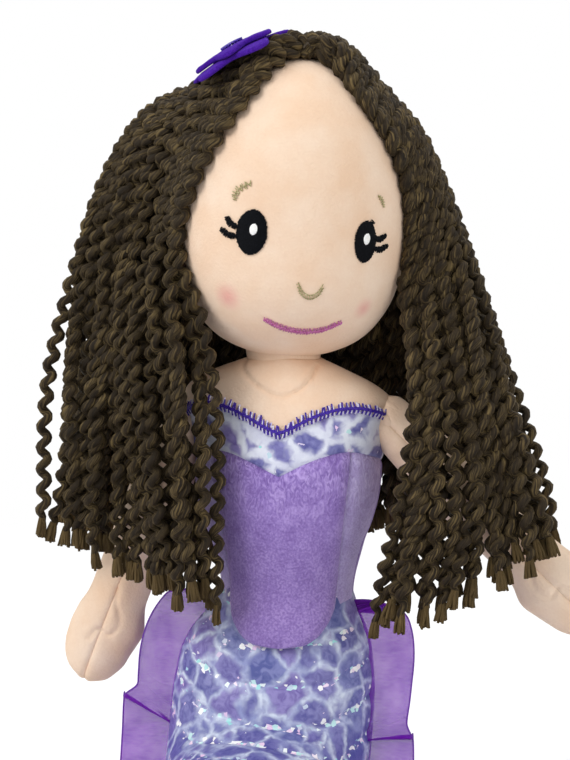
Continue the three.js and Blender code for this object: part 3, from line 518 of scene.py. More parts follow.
def bodyPoint(angle, height, lift=0.0):  # angle 0 is the front, a quarter turn is the doll's left
    wide, deep = column(bodyTable, height, 1) + lift, column(bodyTable, height, 2) + lift
    x = wide * np.sin(angle)
    leaning = body["lean"] * x * smoothStep((height - body["leanFrom"]) / body["leanOver"])
    return np.stack([x, -deep * np.cos(angle), height - leaning], axis=-1)


def sideAngle(x, height):  # the angle at which the front of the body is x to the side
    return np.arcsin(np.clip(x / column(bodyTable, height, 1), -1, 1))


def edgeHeight(angle, table, backLevel):
    angle = np.abs((angle + math.pi) % (2 * math.pi) - math.pi)
    front = np.interp(body["edgeReach"] * np.abs(np.sin(angle)), table[:, 0], table[:, 1])
    behind = smoothStep((angle - math.radians(body["backFrom"])) / math.radians(body["backOver"]))
    return front + (backLevel - front) * behind


def necklineHeight(angle):
    return edgeHeight(angle, necklineTable, body["backNeckline"])


def bandFootHeight(angle):
    return edgeHeight(angle, bandFootTable, body["backBandFoot"])


def plushHeight(angle, share):  # from the bodice's foot to just under the band
    foot = body["bodiceFoot"]
    return foot + share * (bandFootHeight(angle) + body["overlap"] - foot)


def softFolds(size, height, seed=0.0):
    return lambda grid: height * lumps(grid, size, seed)


def makeBody():
    share = np.linspace(0, 1, 26)[:, None]
    angle = fan(0, 2, 300, share, False)
    band = bodyPoint(angle, bandFootHeight(angle) * (1 - share) + necklineHeight(angle) * share, 0.2)
    dress(sewnPanel("bodiceBand", band, around=True, draw=0.8, roll=2.5, relief=softFolds(16, 0.3)),
          "body", "foil", ["neckline_band"])

    seam = smoothRows(body["neckSeam"], 30)
    pressed = groove(bodyPoint(sideAngle(seam[:, 0], seam[:, 1]), seam[:, 1]), 1.2, 0.7)
    share = np.linspace(0, 1, 46)[:, None]
    angle = fan(0, 2, 200, share, False)
    low = necklineHeight(angle) - body["tuck"]
    chest = bodyPoint(angle, low + (body["top"] - low) * share**0.8)
    dress(sewnPanel("chestSkin", chest, around=True, seams="",
                    relief=lambda g: pressed(g) + 0.3 * lumps(g, 22)),
          "body", "velour", ["chest_skin", "body_stuffing"])

    seam = smoothRows(body["princessSeam"], 80)
    foot, ratio = seam[0, 1], (seam[:, 1:] - seam[0, 1]) / (seam[-1, 1] - seam[0, 1])
    x = np.linspace(-1, 1, 56)[None] * seam[:, :1]
    top = np.interp(np.abs(x), bandFootTable[:, 0], bandFootTable[:, 1]) + body["overlap"]
    z = foot + ratio * (top - foot)
    seamX, seamZ = x[:, -1], z[:, -1]

    def proud(grid):  # the front panel stands out most over the belly
        rise = body["bellyRise"] * smoothStep((body["bellyBelow"] - grid[..., 2]) / body["bellyOver"])
        return 0.4 * lumps(grid, 24, 2) + rise

    front = bodyPoint(sideAngle(x, z), z, 0.5)
    dress(sewnPanel("bodiceFront", front[1:], draw=1.5, roll=5, swell=0.3, relief=proud),
          "body", "plush", ["bodice_front_panel"])

    share = np.linspace(0, 1, 70)[:, None]
    s = np.linspace(0, 1, 26)[None] + 0 * share
    for side, name in ((1, "left"), (-1, "right")):
        angle = 0.8 + 0.7 * s
        for _ in range(4):  # angle and height depend on each other, so they settle in a few passes
            z = plushHeight(angle, share)
            first = sideAngle(np.interp(z, seamZ, seamX), z)
            angle = first + (math.pi / 2 - first) * s
        grid = bodyPoint(angle * side, z, 0.3)[:, ::side]
        dress(sewnPanel(name + "BodiceSide", grid, draw=1.4, roll=4.5, relief=softFolds(20, 0.4, side)),
              "body", "plushSide", [f"bodice_{name}_side_panel"])
    angle = fan(0.5, 1.5, 100, share)
    back = bodyPoint(angle, plushHeight(angle, share), 0.3)
    dress(sewnPanel("bodiceBack", back, draw=1.0, roll=3.5, relief=softFolds(22, 0.4, 5)),
          "body", "plush", ["bodice_back_panel"])


trim = {  # stitches over the edge of the band, and three rows that run along it
    "pitch": 1.5, "above": 2.0, "below": 2.4, "thread": 0.3, "core": 0.34, "lean": 0.006, "sunk": 0.2,
    "lifts": [0.95, 1.35, 1.35, 0.75], "rows": [(-0.55, 1), (-0.25, -1), (0.05, 1)], "rowLift": 1.55,
    "wobble": 0.18,
}


def makeNecklineTrim():
    angle = np.linspace(-math.pi, math.pi, 1400)
    length = runLength(bodyPoint(angle, necklineHeight(angle), 0.2))
    for name, front in (("Front", True), ("Back", False)):
        rows = {"violet": [], "silver": []}
        for k, at in enumerate(np.arange(0, length[-1], trim["pitch"] / 2)):
            a = np.interp(at, length, angle)
            if (abs(a) <= math.pi / 2) != front:
                continue
            turns = a + rng.normal(0, trim["lean"]) * np.arange(4)
            ups = [-trim["below"] * rng.uniform(0.8, 1.1), -1.0, 0.3, trim["above"] * rng.uniform(0.75, 1.1)]
            lifts = np.array(trim["lifts"]) - (0 if k % 2 else trim["sunk"])
            stitch = bodyPoint(turns, necklineHeight(a) + np.array(ups), lifts)
            rows["violet" if k % 2 else "silver"].append(stitch)
        arc = np.linspace(-0.5, 0.5, 300) * math.pi + (0 if front else math.pi)
        wobble = trim["wobble"] * np.sin(np.arange(300) * 1.3)
        rows["violet"] += [bodyPoint(arc, necklineHeight(arc) + up + wobble * way, trim["rowLift"])
                           for up, way in trim["rows"]]
        dress(sweptPiece("necklineStitches" + name, rows["violet"], "violet", trim["thread"], step=0.4),
              "body", "violet", ["neckline_trim_" + name.lower()])
        dress(sweptPiece("necklineSlivers" + name, rows["silver"], "silver", trim["core"], step=0.5, sides=5),
              "body", "silver")


makeBody()
makeNecklineTrim()
print("bodice sewn")


# Tail: one tube of printed knit from under the bodice, over the lap and forward to the fin

tail = {
    "stations": [  # front y, front z, back y, back z, half width, sway to the doll's right
        [-18.6, 92, 19.4, 92, 22.6, 0.4], [-20.8, 82, 21.8, 82, 27.6, 1.8], [-23.8, 72, 24.6, 72, 33, 3.6],
        [-26.6, 60, 28.4, 57, 35.6, 5], [-29.2, 51, 32.1, 41, 36.6, 6], [-33.5, 45.6, 31.4, 22, 36.4, 6.4],
        [-41, 43.6, 23, 2, 35.6, 6.6], [-52, 41.8, 2, -2.2, 34.8, 6.4], [-66, 39, -30, -2.2, 33.2, 5.4],
        [-84, 35, -60, -2.2, 30.5, 4], [-104, 29.8, -92, -2.2, 26, 2.6], [-126, 24, -122, -2.2, 19.4, 1.2],
        [-145, 18.4, -146, -2.2, 13.6, 0.3], [-154, 14.4, -154.5, 0.2, 10.8, 0],
        [-159, 9.6, -159, 5.4, 6.2, 0], [-160.4, 7.6, -160.4, 7.4, 0.6, 0],
    ],
    "power": 0.94, "floor": 0.02,
}
lap = {  # curved folds of cloth; top and edge are where the count down the lap starts and bends
    "top": 100, "edge": -30, "smile": 0.011, "wander": 1.6, "acrossWave": 9.0, "downWave": 23,
    "foldHeight": 2.0, "foldPitch": 13.6, "foldMiddle": 58, "foldSpread": 26, "foldReach": 33,
    # the last entry sets how wide the painted glints along each crease are
    "shineWidth": 0.34,
}
tailTable = smoothRows(tail["stations"], 240)
hipBend = ("body", (0, -0.012, 0.040), (0, 0.0, 0.068))  # given to dress, which only bakes these pieces' placement into their meshes


def tailPoint(angle, row):
    frontY, frontZ, backY, backZ, wide, sway = np.moveaxis(tailTable[row], -1, 0)
    middle = np.stack([0 * frontY, (frontY + backY) / 2, (frontZ + backZ) / 2], axis=-1)
    toFront = np.stack([0 * frontY, (frontY - backY) / 2, (frontZ - backZ) / 2], axis=-1)
    c, s = (np.sign(v) * np.abs(v) ** tail["power"] for v in (np.cos(angle), np.sin(angle)))
    point = middle + c[..., None] * toFront
    point[..., 0] += s * wide - sway
    return point


def lapRun(grid):  # how far down the lap a point is, counted along curves that smile
    x, y, z = np.moveaxis(grid, -1, 0)
    run = lap["top"] - z + np.maximum(lap["edge"] - y, 0)
    return run + lap["smile"] * x**2 + lap["wander"] * np.sin(x / lap["acrossWave"] + run / lap["downWave"])


def foldWave(grid):
    return np.abs(np.sin(lapRun(grid) / lap["foldPitch"] * math.pi))


def lapFolds(grid):  # curved creases where the cloth is pushed together over the lap
    down, aside = (lapRun(grid) - lap["foldMiddle"]) / lap["foldSpread"], grid[..., 0] / lap["foldReach"]
    where = np.exp(-(down**2)) * np.exp(-(aside**4)) * (grid[..., 1] < 0)
    return lap["foldHeight"] * where * (foldWave(grid) ** 0.6 - 0.55)


def paintedCreaseGlint(grid):  # where the foil's flecks are painted as bright glints: most along its creases
    crease = np.exp(-((foldWave(grid) / lap["shineWidth"]) ** 2))
    return crease * (grid[..., 1] < 0) * (0.6 + 0.4 * lumps(grid, 26))


def makeTail():
    rows = np.arange(len(tailTable))[:, None]
    for name, first, last, cols, nodes in (
            ("tailFrontCloth", -0.5, 0.5, 150, ["tail_front_panel", "belly_panel", "tail_stuffing"]),
            ("tailBackCloth", 0.5, 1.5, 110, ["tail_back_panel"])):
        grid = tailPoint(fan(first, last, cols, rows), rows)[::-1]
        made = sewnPanel(name, grid, wall=1.4, draw=0.9, roll=3, seams="s",
                         relief=lambda g: lapFolds(g) + 0.45 * lumps(g, 30, 3))
        flat = np.empty(len(made.data.vertices) * 3)
        made.data.vertices.foreach_get("co", flat)
        flat[2::3] = np.maximum(flat[2::3], tail["floor"] * metre)  # it lies on the floor
        made.data.vertices.foreach_set("co", flat)
        # the mask of painted glints along the creases, kept on the mesh for the foil
        crease = made.data.attributes.new("crease", "FLOAT", "POINT")
        crease.data.foreach_set("value", paintedCreaseGlint(flat.reshape(-1, 3) / metre))
        dress(made, "tail", "foil", nodes, bend=hipBend)


makeTail()
print("tail sewn")


# Fin

fin = {
    "sections": [  # distance forward, half width, half height, height of the middle
        [150, 9.5, 5.6, 7.8], [160, 17, 5.6, 7], [172, 33, 5.4, 6.4], [186, 47, 5, 5.8], [198, 55, 4.2, 5.2],
        [206, 51, 3, 4.8],
    ],
    "notch": 24, "notchHalfWidth": 19, "rays": 3.0, "rayHeight": 0.5, "rayFrom": 0.25, "rayOver": 0.4,
    "edge": 0.12, "gap": 0.06,
}
finTable = smoothRows(fin["sections"], 200)


def makeFin():
    t = np.linspace(0, 1, 90)[:, None]
    s = np.linspace(-1, 1, 120)[None]
    ahead = finTable[0, 0] + (finTable[-1, 0] - finTable[0, 0]) * t + 0 * s
    x = column(finTable, ahead, 1) * s
    notch = fin["notch"] * np.clip(1 - (np.abs(x) / fin["notchHalfWidth"]) ** 1.6, 0, 1)
    y = ahead - notch * t**3
    bulge = np.sqrt(np.clip(1 - np.abs(s) ** 3, 0, 1)) * np.sqrt(np.clip(1 - t**8, 0, 1))
    high = column(finTable, ahead, 2) * bulge
    middle = column(finTable, y, 3)
    fade = smoothStep((t - fin["rayFrom"]) / fin["rayOver"]) * bulge
    rays = fin["rayHeight"] * (np.abs(np.sin(s * fin["rays"] * math.pi)) ** 0.5 * fade - 1)
    for name, sign, nodes in (("finUpperCloth", 1, ["fin_upper_panel", "fin_stuffing"]),
                              ("finLowerCloth", -1, ["fin_lower_panel"])):
        outer = np.stack([x, -y, middle + sign * np.maximum(high + rays, fin["edge"])], axis=-1)
        inner = np.stack([x, -y, middle + sign * fin["gap"]], axis=-1)
        dress(closedShell(name, outer, inner), "fin", "foil", nodes)


makeFin()
print("fin sewn")


# Frills of organza in the tail's side seams

frill = {
    "seam": [  # row of the tail's table, degrees round from the front, width of the frill
        [10, 84, 11], [22, 82, 14], [39, 80, 15], [56, 79, 15], [73, 79, 15], [111, 83, 16], [132, 86, 18],
        [154, 87, 18], [174, 87, 17], [189, 88, 12],
    ],
    "left": {"start": 14, "narrow": 0.16, "shear": 0.08, "share": 1.04, "forward": 0},
    "right": {"start": 8, "narrow": 0.34, "shear": 0.18, "share": 1.08, "forward": 4},
    "lobe": 50, "fullest": 1.04, "corner": 14, "waveHeight": 3.8, "pleat": 9.5, "pleatGap": 0.9, "tilt": 2.2,
    "cloth": 0.22, "hem": 0.3, "tuck": 1.2, "passes": 6, "clearance": 0.9,
}


def makeFrills():
    u = np.linspace(0, 1, 640)[:, None]
    v = np.linspace(0, 1, 26)[None]
    ends = smoothStep(u * 16) * smoothStep((1 - u) * 14)  # it lies flat where it starts and ends
    for side, name in ((1, "left"), (-1, "right")):
        own = frill[name]
        first, *rest = frill["seam"]  # each side starts at a height of its own
        seam = smoothRows([[own["start"], *first[1:]], *rest], len(u))
        row = np.clip(np.round(seam[:, 0]), 0, len(tailTable) - 1).astype(int)
        line = tailPoint(np.radians(seam[:, 1] - own["forward"]) * side, row)
        for _ in range(frill["passes"]):
            line[1:-1] = (line[:-2] + 2 * line[1:-1] + line[2:]) / 4
        along = unit(np.gradient(line, axis=0))
        out = np.array([side, -0.12, 0.1])  # a little forward and up
        out = unit(out - (along @ out)[:, None] * along)
        face = np.cross(out, along) * side
        line = line - out * frill["tuck"]
        run = runLength(line)[:, None]
        turn = (run + 1.5) / frill["lobe"] + own["shear"] * v
        part, phase = turn % 1, turn * 2 * math.pi  # where a point is within its lobe
        lobe = frill["fullest"] - own["narrow"] * (part**2.2 - smoothStep((part - 0.9) / 0.1))  # narrows
        lobe = lobe - 0.5 * (1 - smoothStep((run + 3) / frill["corner"]))  # starts at a rounded corner
        reach = own["share"] * seam[:, 2:3] * v * (1 + (lobe - 1) * v) + frill["tuck"] * v
        near = (1 - v) ** 0.85  # pleats are deepest at the seam
        fold = frill["waveHeight"] * np.sin(phase - 0.5) * v**1.3 * ends
        gap = frill["pleatGap"] * np.sin(phase) * (0.25 + near) * ends
        pleat = -frill["pleat"] * np.sin(phase) * near * ends
        tilt = frill["tilt"] * smoothStep((part - 0.8) / 0.2) * v * ends
        grid = (line[:, None] + out[:, None] * reach[..., None] + face[:, None] * (fold + gap)[..., None]
                + along[:, None] * (pleat + tilt)[..., None])
        grid[..., 2] = np.maximum(grid[..., 2], frill["clearance"])
        edge, grid = grid[:, -1], grid[:, ::side]
        cloth = sewnPanel(name + "Frill", grid, wall=frill["cloth"], draw=0.0, seams="")
        hem = sweptPiece(name + "FrillHem", [edge], "hem", frill["hem"], step=0.8, sides=8)
        dress(cloth, "tail", "organza", [name + "_frill"], bend=hipBend)
        dress(hem, "tail", "hem", bend=hipBend)
        length, wide = runLength(grid)[-1], runLength(grid, 1)[:, -1]


makeFrills()


# Neck and head

neck = {
    "sections": [  # height, half width, half depth, shift to the doll's right
        [157, 12.4, 12.2, 0], [164, 12.5, 12.1, 0.4], [170, 12.8, 11.9, 1.2], [176, 13.2, 12.1, 1.8],
        [186, 13.6, 13, 2],
    ],
    "creaseAt": 170.5, "creaseDepth": 0.35, "creaseWidth": 0.9,
}
head = {
    "middle": np.array([2.5, -2, 225.7]), "yaw": 16, "roll": 3, "swell": 0.35, "lumpSize": 34,
    "sections": [  # height above the middle, half width, half depth
        [-53, 0.4, 0.4], [-52.4, 6, 6], [-50.5, 15, 14], [-46, 24.5, 22.5], [-39, 31.5, 29.5],
        [-28, 37, 34.5], [-12, 39.5, 36.5], [6, 38.2, 36.5], [22, 33.5, 33], [35, 26, 26.5], [45, 17, 18],
        [50.2, 8, 8.5], [51.4, 0.4, 0.4],
    ],
}
headTable = smoothRows(head["sections"], 500)
headTable[:, 1:] = np.maximum(headTable[:, 1:], 0.2)
headTurn = np.array((Matrix.Rotation(math.radians(head["yaw"]), 3, "Z")
                     @ Matrix.Rotation(math.radians(head["roll"]), 3, "Y")))


def onHead(points):
    return np.asarray(points) @ headTurn.T + head["middle"]


def inHead(points):
    return (np.asarray(points) - head["middle"]) @ headTurn


def facePoint(x, z, lift=0.0):  # a point on the face, in the head's own frame
    x, z = np.asarray(x, float), np.asarray(z, float)
    wide, deep = column(headTable, z, 1), column(headTable, z, 2)
    y = -deep * np.sqrt(np.clip(1 - (x / wide) ** 2, 0.01, 1))
    up = column(headTable, z + 1, 2) - column(headTable, z - 1, 2)
    normal = unit(np.stack([x / wide**2, y / deep**2, -up / 2 / deep], axis=-1))
    return np.stack([x, y, z], axis=-1) + normal * np.asarray(lift, float)[..., None]


def onFace(x, z, lift):  # a point on the stuffed face, in the shared frame
    flat = onHead(facePoint(x, z))
    return onHead(facePoint(x, z, lift + head["swell"] * lumps(flat, head["lumpSize"], 1)))


face = {
    "eyes": {
        "right": {"at": [-18.4, -9.7], "size": [9.6, 15], "shine": [0.6, 1.0],
                  "lashes": [[[-22, -8], [-24.6, -7.7], [-26.4, -5]],
                             [[-22.4, -11.2], [-25.5, -11], [-28, -8.9]]]},
        "left": {"at": [20.1, -11], "size": [8, 13.9], "shine": [0, 1.0],
                 "lashes": [[[23, -9.4], [25.4, -10], [28, -8.5]], [[23.2, -13], [26, -13.4], [29, -11.9]],
                            [[21.6, -5.6], [22, -5], [22.4, -3.9]]]},
    },
    "shineSize": [2.2, 3.6],
    "brows": {"right": [[-24.2, 0.8], [-23.4, 4], [-19.2, 6.6]], "left": [[26.5, 1], [25.6, 3.4], [24, 4.8]]},
    "browWidths": {"right": 2.3, "left": 1.4},
    "nose": [[-2.4, -26.2], [-1, -28.9], [1.7, -30.3], [4.6, -29], [6, -26.4]],
    "mouth": [[-12.2, -38.5], [-6.5, -40.9], [0.4, -42.2], [7.6, -41.4], [14.2, -38.4]],
    "blush": [[-24.6, -32, 6.4, 0.62], [21.9, -33.6, 5.2, 0.55]],  # place, radius, strength
    "thread": 0.2, "fineThread": 0.17, "eyeThread": 0.24, "rowPitch": 0.36, "lashWidth": 2.0, "dome": 0.4,
}


def makeHead():
    seamAt = 2 / 37  # how far behind the sides the seams run, in half turns
    t = np.linspace(0, 1, 150)[:, None]
    table = headTable[(t[:, 0] * (len(headTable) - 1)).astype(int)]
    spots = [(onHead(facePoint(x, z)), radius, strength) for x, z, radius, strength in face["blush"]]
    looks["faceVelour"] = ("velour", velourMaterial("brushedVelourFace", spots))
    for name, first, last, cols, look, nodes in (
            ("faceSkin", -0.5 - seamAt, 0.5 + seamAt, 150, "faceVelour", ["face_panel", "head_stuffing"]),
            ("headBackSkin", 0.5 + seamAt, 1.5 - seamAt, 120, "velour", ["head_back_panel"])):
        angle = fan(first, last, cols, t)
        own = [table[:, 1:2] * np.sin(angle), -table[:, 2:3] * np.cos(angle), table[:, :1] + 0 * angle]
        made = sewnPanel(name, onHead(np.stack(own, -1)), wall=1.4, draw=0.8, roll=3.5, seams="s",
                         relief=softFolds(head["lumpSize"], head["swell"], 1))
        dress(made, "head", look, nodes)
    share = np.linspace(0, 1, 40)[:, None]
    angle = fan(0, 2, 90, share, False)
    table = smoothRows(neck["sections"], 200)
    low, high = neck["sections"][0][0], neck["sections"][-1][0]
    z = low + (high - low) * share + 0 * angle
    grid = np.stack([column(table, z, 1) * np.sin(angle) - column(table, z, 3),
                     -column(table, z, 2) * np.cos(angle), z], -1)

    def creases(grid):
        away = (grid[..., 2] - neck["creaseAt"]) / neck["creaseWidth"]
        return -neck["creaseDepth"] * np.exp(-(away**2)) + 0.25 * lumps(grid, 12)

    dress(sewnPanel("neckSkin", grid, wall=1.2, around=True, seams="", relief=creases),
          "body", "velour", ["neck"], bend=("neck", (0, 0, 0.160), (0, 0, 0.174)))


# Rows of parallel stitches that fill an oval on the face
def satinOval(x, z, width, height, lift):
    lines = []
    across = np.linspace(-1, 1, 9)
    for up in np.arange(-height / 2 + 0.15, height / 2, face["rowPitch"]):
        inside = 1 - (2 * up / height) ** 2
        half = width / 2 * math.sqrt(max(inside, 0.02)) * rng.uniform(0.96, 1.05)
        dome = lift + face["dome"] * np.sqrt(np.clip(1 - across**2, 0, 1)) * math.sqrt(max(inside, 0))
        lines.append(onFace(x + half * across, z + up + 0.12 * across, dome))
    return lines


# Short stitches side by side across a line on the face
def satinLine(points, width, lift=0.15, ends=0.45, pitch=0.42):
    line = smoothRows(points, 200)
    length = runLength(line)
    lines = []
    across = np.linspace(-1, 1, 5)
    for at in np.arange(0, length[-1], pitch):
        behind, middle, ahead = (np.array([np.interp(at + step, length, line[:, k]) for k in range(2)])
                                 for step in (-0.1, 0, 0.1))
        way = unit(ahead - behind)
        narrow = ends + (1 - ends) * math.sin(math.pi * at / length[-1]) ** 0.5
        half = width / 2 * narrow * rng.uniform(0.82, 1.14)
        spots = middle[None] + np.outer(across * half, [-way[1], way[0]])
        spots = spots + np.outer(across * rng.normal(0, 0.2), way)
        lines.append(onFace(spots[:, 0], spots[:, 1], lift + face["dome"] * (1 - across**2)))
    return lines


def makeFace():
    def sew(name, lines, look, node, thread=face["thread"]):
        dress(sweptPiece(name, lines, look, thread, step=0.35), "head", look, [node])

    for name, eye in face["eyes"].items():
        lines = satinOval(*eye["at"], *eye["size"], 0.2)
        for lash in eye["lashes"]:
            lines += satinLine(lash, face["lashWidth"], lift=0.2, ends=0.4, pitch=0.34)
        sew(name + "Eye", lines, "black", name + "_eye_stitches", face["eyeThread"])
        spot = np.array(eye["at"]) + eye["shine"]
        shine = satinOval(*spot, *face["shineSize"], 0.75)
        sew(name + "EyeHighlight", shine, "white", name + "_eye_highlight", face["eyeThread"])
        brow = satinLine(face["brows"][name], face["browWidths"][name], pitch=0.8)
        brow.append(onFace(*smoothRows(face["brows"][name], 12).T, 0.3))
        sew(name + "Brow", brow, "olive", name + "_brow_stitches")
    for name, look, count, edge, lift, settings in (
            ("nose", "olive", 24, 0.7, 0.25, {"width": 1.5, "ends": 0.8, "pitch": 0.9}),
            ("mouth", "pink", 40, 0.2, 0.62, {"width": 2.1, "ends": 0.6, "pitch": 0.55})):
        line = smoothRows(face[name], count)
        edges = [onFace(line[:, 0], line[:, 1] + up, lift) for up in (-edge, edge)]
        sew(name + "Stitches", satinLine(face[name], **settings) + edges, look, name + "_stitches",
            face["fineThread"])


makeHead()
makeFace()
print("head and face sewn")


# Arms

arm = {
    "shoulder": [35.5, 151], "tilt": {"left": 46, "right": 22},
    "sections": [  # distance from the shoulder, half width, half depth
        [-7.6, 1, 1], [-6.6, 4.6, 4.6], [-3.4, 7.8, 7.6], [1, 8.9, 8.7], [6, 9.3, 9], [15, 9.9, 9.6],
        [36, 11, 10.4], [56, 10.4, 9.8], [70, 10.6, 9], [82, 12.3, 8.8], [93, 11.6, 7.8], [100, 7.8, 5.8],
        [103.4, 3, 2.4], [104.2, 0.4, 0.4],
    ],
    "thumb": [[0.4, 66], [1.6, 71], [4.6, 75], [5.6, 79], [3.4, 83], [-1.2, 82.4], [-3, 87]],
    "thumbAt": 79, "thumbLength": 6, "thumbBulge": 1.6, "palm": 9.0, "palmFrom": 60, "palmSlope": 0.02,
    "gusset": 8.4, "gathers": 11, "gatherDepth": 0.035,
}
armTable = smoothRows(arm["sections"], 260)
forward = np.array([0, -1.0, 0])


def armFrame(name):
    side = 1 if name == "left" else -1
    tilt = math.radians(arm["tilt"][name])
    origin = np.array([side * arm["shoulder"][0], 0, arm["shoulder"][1]])
    down = np.array([side * math.sin(tilt), 0, -math.cos(tilt)])
    inward = np.array([-side * math.cos(tilt), 0, -math.sin(tilt)])
    return side, origin, down, inward


def facingOut(grid, around, row, col, centre):  # turns a grid round if its normals point to the centre
    outward = np.dot(gridNormals(grid, around)[row, col], grid[row, col] - centre) >= 0
    return grid if outward else grid[:, ::-1]


def makeArm(name):
    side, origin, down, inward = armFrame(name)
    rows = armTable[:, 0:1]
    thumb = [origin + down * along + inward * across
             + forward * (arm["palm"] - arm["palmSlope"] * (along - arm["palmFrom"]))
             for across, along in arm["thumb"]]
    pressed = groove(thumb, 0.9, 0.8)
    for part, first, last, extra in (("Inner", -0.5, 0.5, [name + "_arm_stuffing"]), ("Outer", 0.5, 1.5, [])):
        angle = fan(first, last, 48, rows)
        near = np.exp(-(((rows - arm["thumbAt"]) / arm["thumbLength"]) ** 2))
        bulge = arm["thumbBulge"] * near * np.clip(np.cos(angle), 0, 1)
        ahead = armTable[:, 2:3] * np.sin(angle) * side
        across = (armTable[:, 1:2] + bulge) * np.cos(angle)
        grid = origin + rows[..., None] * down + across[..., None] * inward + ahead[..., None] * forward
        grid = facingOut(grid, False, 100, 24, origin + down * armTable[100, 0])
        relief = lambda g: pressed(g) + 0.4 * lumps(g, 19, side) + 0.15 * lumps(g, 7, 2)
        made = sewnPanel(f"{name}Arm{part}", grid, wall=1.2, draw=0.75, roll=2.6, relief=relief, seams="s")
        dress(made, f"{name}_arm", "velour", [f"{name}_arm_{part.lower()}_panel"] + extra)
    t = np.linspace(0.02, 0.98, 40)[:, None]
    angle = fan(0, 2, 80, t, False)
    gather = arm["gatherDepth"] * np.cos(angle * arm["gathers"]) * np.sin(t * math.pi) ** 2
    radius = arm["gusset"] * np.sin(t * math.pi) * (1 + gather)
    high = -arm["gusset"] * np.cos(t * math.pi) + 0 * angle
    grid = (origin + (radius * np.cos(angle))[..., None] * inward - high[..., None] * down
            - (radius * np.sin(angle))[..., None] * forward)
    grid = facingOut(grid, True, 20, 10, origin)
    dress(sewnPanel(f"{name}ShoulderGathers", grid, wall=0.8, around=True, seams=""),
          f"{name}_shoulder", "velour", [f"{name}_shoulder_gusset"])


makeArm("left")
makeArm("right")
print("arms sewn")


# Yarn hair: strands start at the parting, cross the scalp and hang

hair = {
    "yarn": 1.6, "curl": 1.4, "pitch": 7.0, "sides": 7, "step": 0.95, "layers": 3, "layerLift": 2.2,
    "partingFront": 16, "partingBack": 62, "spread": 5.0, "apart": 1.2, "wander": 2.0,
    "rootLift": 1.5, "scalpLift": 2.6, "overScalp": [0.12, 0.35, 0.68],  # shares of the way to the ear
    "fallFrom": 248, "endFrom": 140, "fadeOver": 60, "looseFrom": 0.7, "waves": [21, 16], "clear": 3.1,
    "fibres": 22, "fibre": 0.6, "fibreSpread": 1.6, "fibreRoot": 2.8, "fibreDrop": [3.2, 4.2], "fray": 0.22,
    "stitchPitch": 1.5, "stitchHalf": 1.4, "stitchSlant": 0.25, "stitchLifts": [4.4, 6.2, 4.4],
}
keepOff = {  # where strands are pushed out of the flower, the head, the body and the arms
    "flowerEdge": 2, "flowerBelow": -2.4, "headLow": -52, "headHigh": 40, "bodyTop": 167, "armEnd": 104,
    "armRadius": 9,
}
heights = [262, 250, 232, 212, 196, 168, 130, 96]
bunches = {  # guides are [share, then out and back at each of the heights above], tips where strands end
    "right_hair_front": {
        "side": -1, "strands": 33, "parting": [0, 0.45], "tips": [91, 96, 107, 112], "guides": [
        [0, [10.5, -27], [18, -29], [26, -27], [32, -23], [31.5, -26], [26.5, -32], [22, -33], [20.5, -32]],
        [0.45, [27, -15], [35.5, -13], [42, -10], [46, -9], [48, -14], [49, -22], [46, -26], [44, -26]],
        [0.62, [36, -6], [48, -4], [56, -4], [60, -6], [61, -10], [61, -16], [61, -20], [59, -21]],
        [1, [46, 4], [58.5, 4], [67.5, 3], [72.5, 0], [75, -4], [78, -11], [79.5, -15], [83, -16]]]},
    "left_hair_front": {
        "side": 1, "strands": 30, "parting": [0, 0.45], "tips": [87, 90, 102, 112], "guides": [
        [0, [27, -16], [34.5, -14], [40.5, -9], [43, -8], [43.5, -11], [46.5, -20], [44, -26], [36.5, -28]],
        [0.4, [31, -10], [39.5, -9], [46, -6], [50, -6], [53, -9], [57, -18], [59, -23], [57, -24]],
        [0.7, [34, -4], [43.5, -4], [51, -3], [55.5, -4], [60, -8], [67, -15], [75, -19], [78, -20]],
        [1, [36, 4], [46, 4], [53.5, 4], [59.5, 1], [64, -3], [72, -10], [83.5, -15], [90, -16]]]},
    "right_hair_back": {
        "side": -1, "strands": 60, "parting": [0.97, 0.5], "tips": [102, 100, 108, 112], "guides": [
        [0, [11, 29], [14, 31], [17, 35], [18, 38], [18, 41], [17, 44], [17, 43], [17, 41]],
        [0.5, [28, 20], [38, 20], [44, 22], [48, 24], [50, 26], [51, 29], [53, 30], [54, 29]],
        [1, [44, 7], [57, 7], [67, 7], [73, 8], [76, 10], [81, 14], [83, 17], [84, 18]]]},
    "left_hair_back": {
        "side": 1, "strands": 62, "parting": [0.97, 0.5], "tips": [108, 114, 108, 108], "guides": [
        [0, [6, 31], [8, 34], [9, 38], [10, 41], [12, 43], [16, 44], [17, 42], [18, 40]],
        [0.5, [20, 22], [29, 24], [35, 26], [39, 28], [40, 30], [44, 31], [48, 31], [51, 30]],
        [1, [34, 9], [45, 9], [54, 9], [60, 9], [65, 12], [75.5, 16], [86, 19], [90, 20]]]},
    "hair_back_middle": {
        "side": 1, "strands": 44, "parting": [1, 1], "tips": [106, 104, 102, 102], "guides": [
        [0, [3, 33], [6, 35], [8, 39], [10, 42], [11, 44], [12, 45], [13, 43], [14, 41]],
        [1, [-12, 30], [-17, 31], [-19, 36], [-19, 39], [-17, 42], [-14, 44], [-13, 43], [-13, 41]]]},
}


def overScalp(polar, azimuth, lift):  # degrees from the head's top, and from its front
    top = head["sections"][-1][0]
    height = top * math.cos(math.radians(polar))
    wide, deep = float(column(headTable, height, 1)), float(column(headTable, height, 2))
    reach = math.sin(math.radians(min(polar, 90)))
    return np.array([(wide + lift * reach) * math.sin(math.radians(azimuth)),
                     -(deep + lift * reach) * math.cos(math.radians(azimuth)),
                     (top + lift) * math.cos(math.radians(polar))])


flower = {
    "polar": 32, "azimuth": 84, "lift": 8.2, "felt": 1.8, "outer": 20, "inner": 15.5, "petals": 5,
    "petalDepth": 0.16, "droop": 2.4, "gap": 0.3, "fuzz": 0.12, "button": 4.2, "stitches": 9,
}


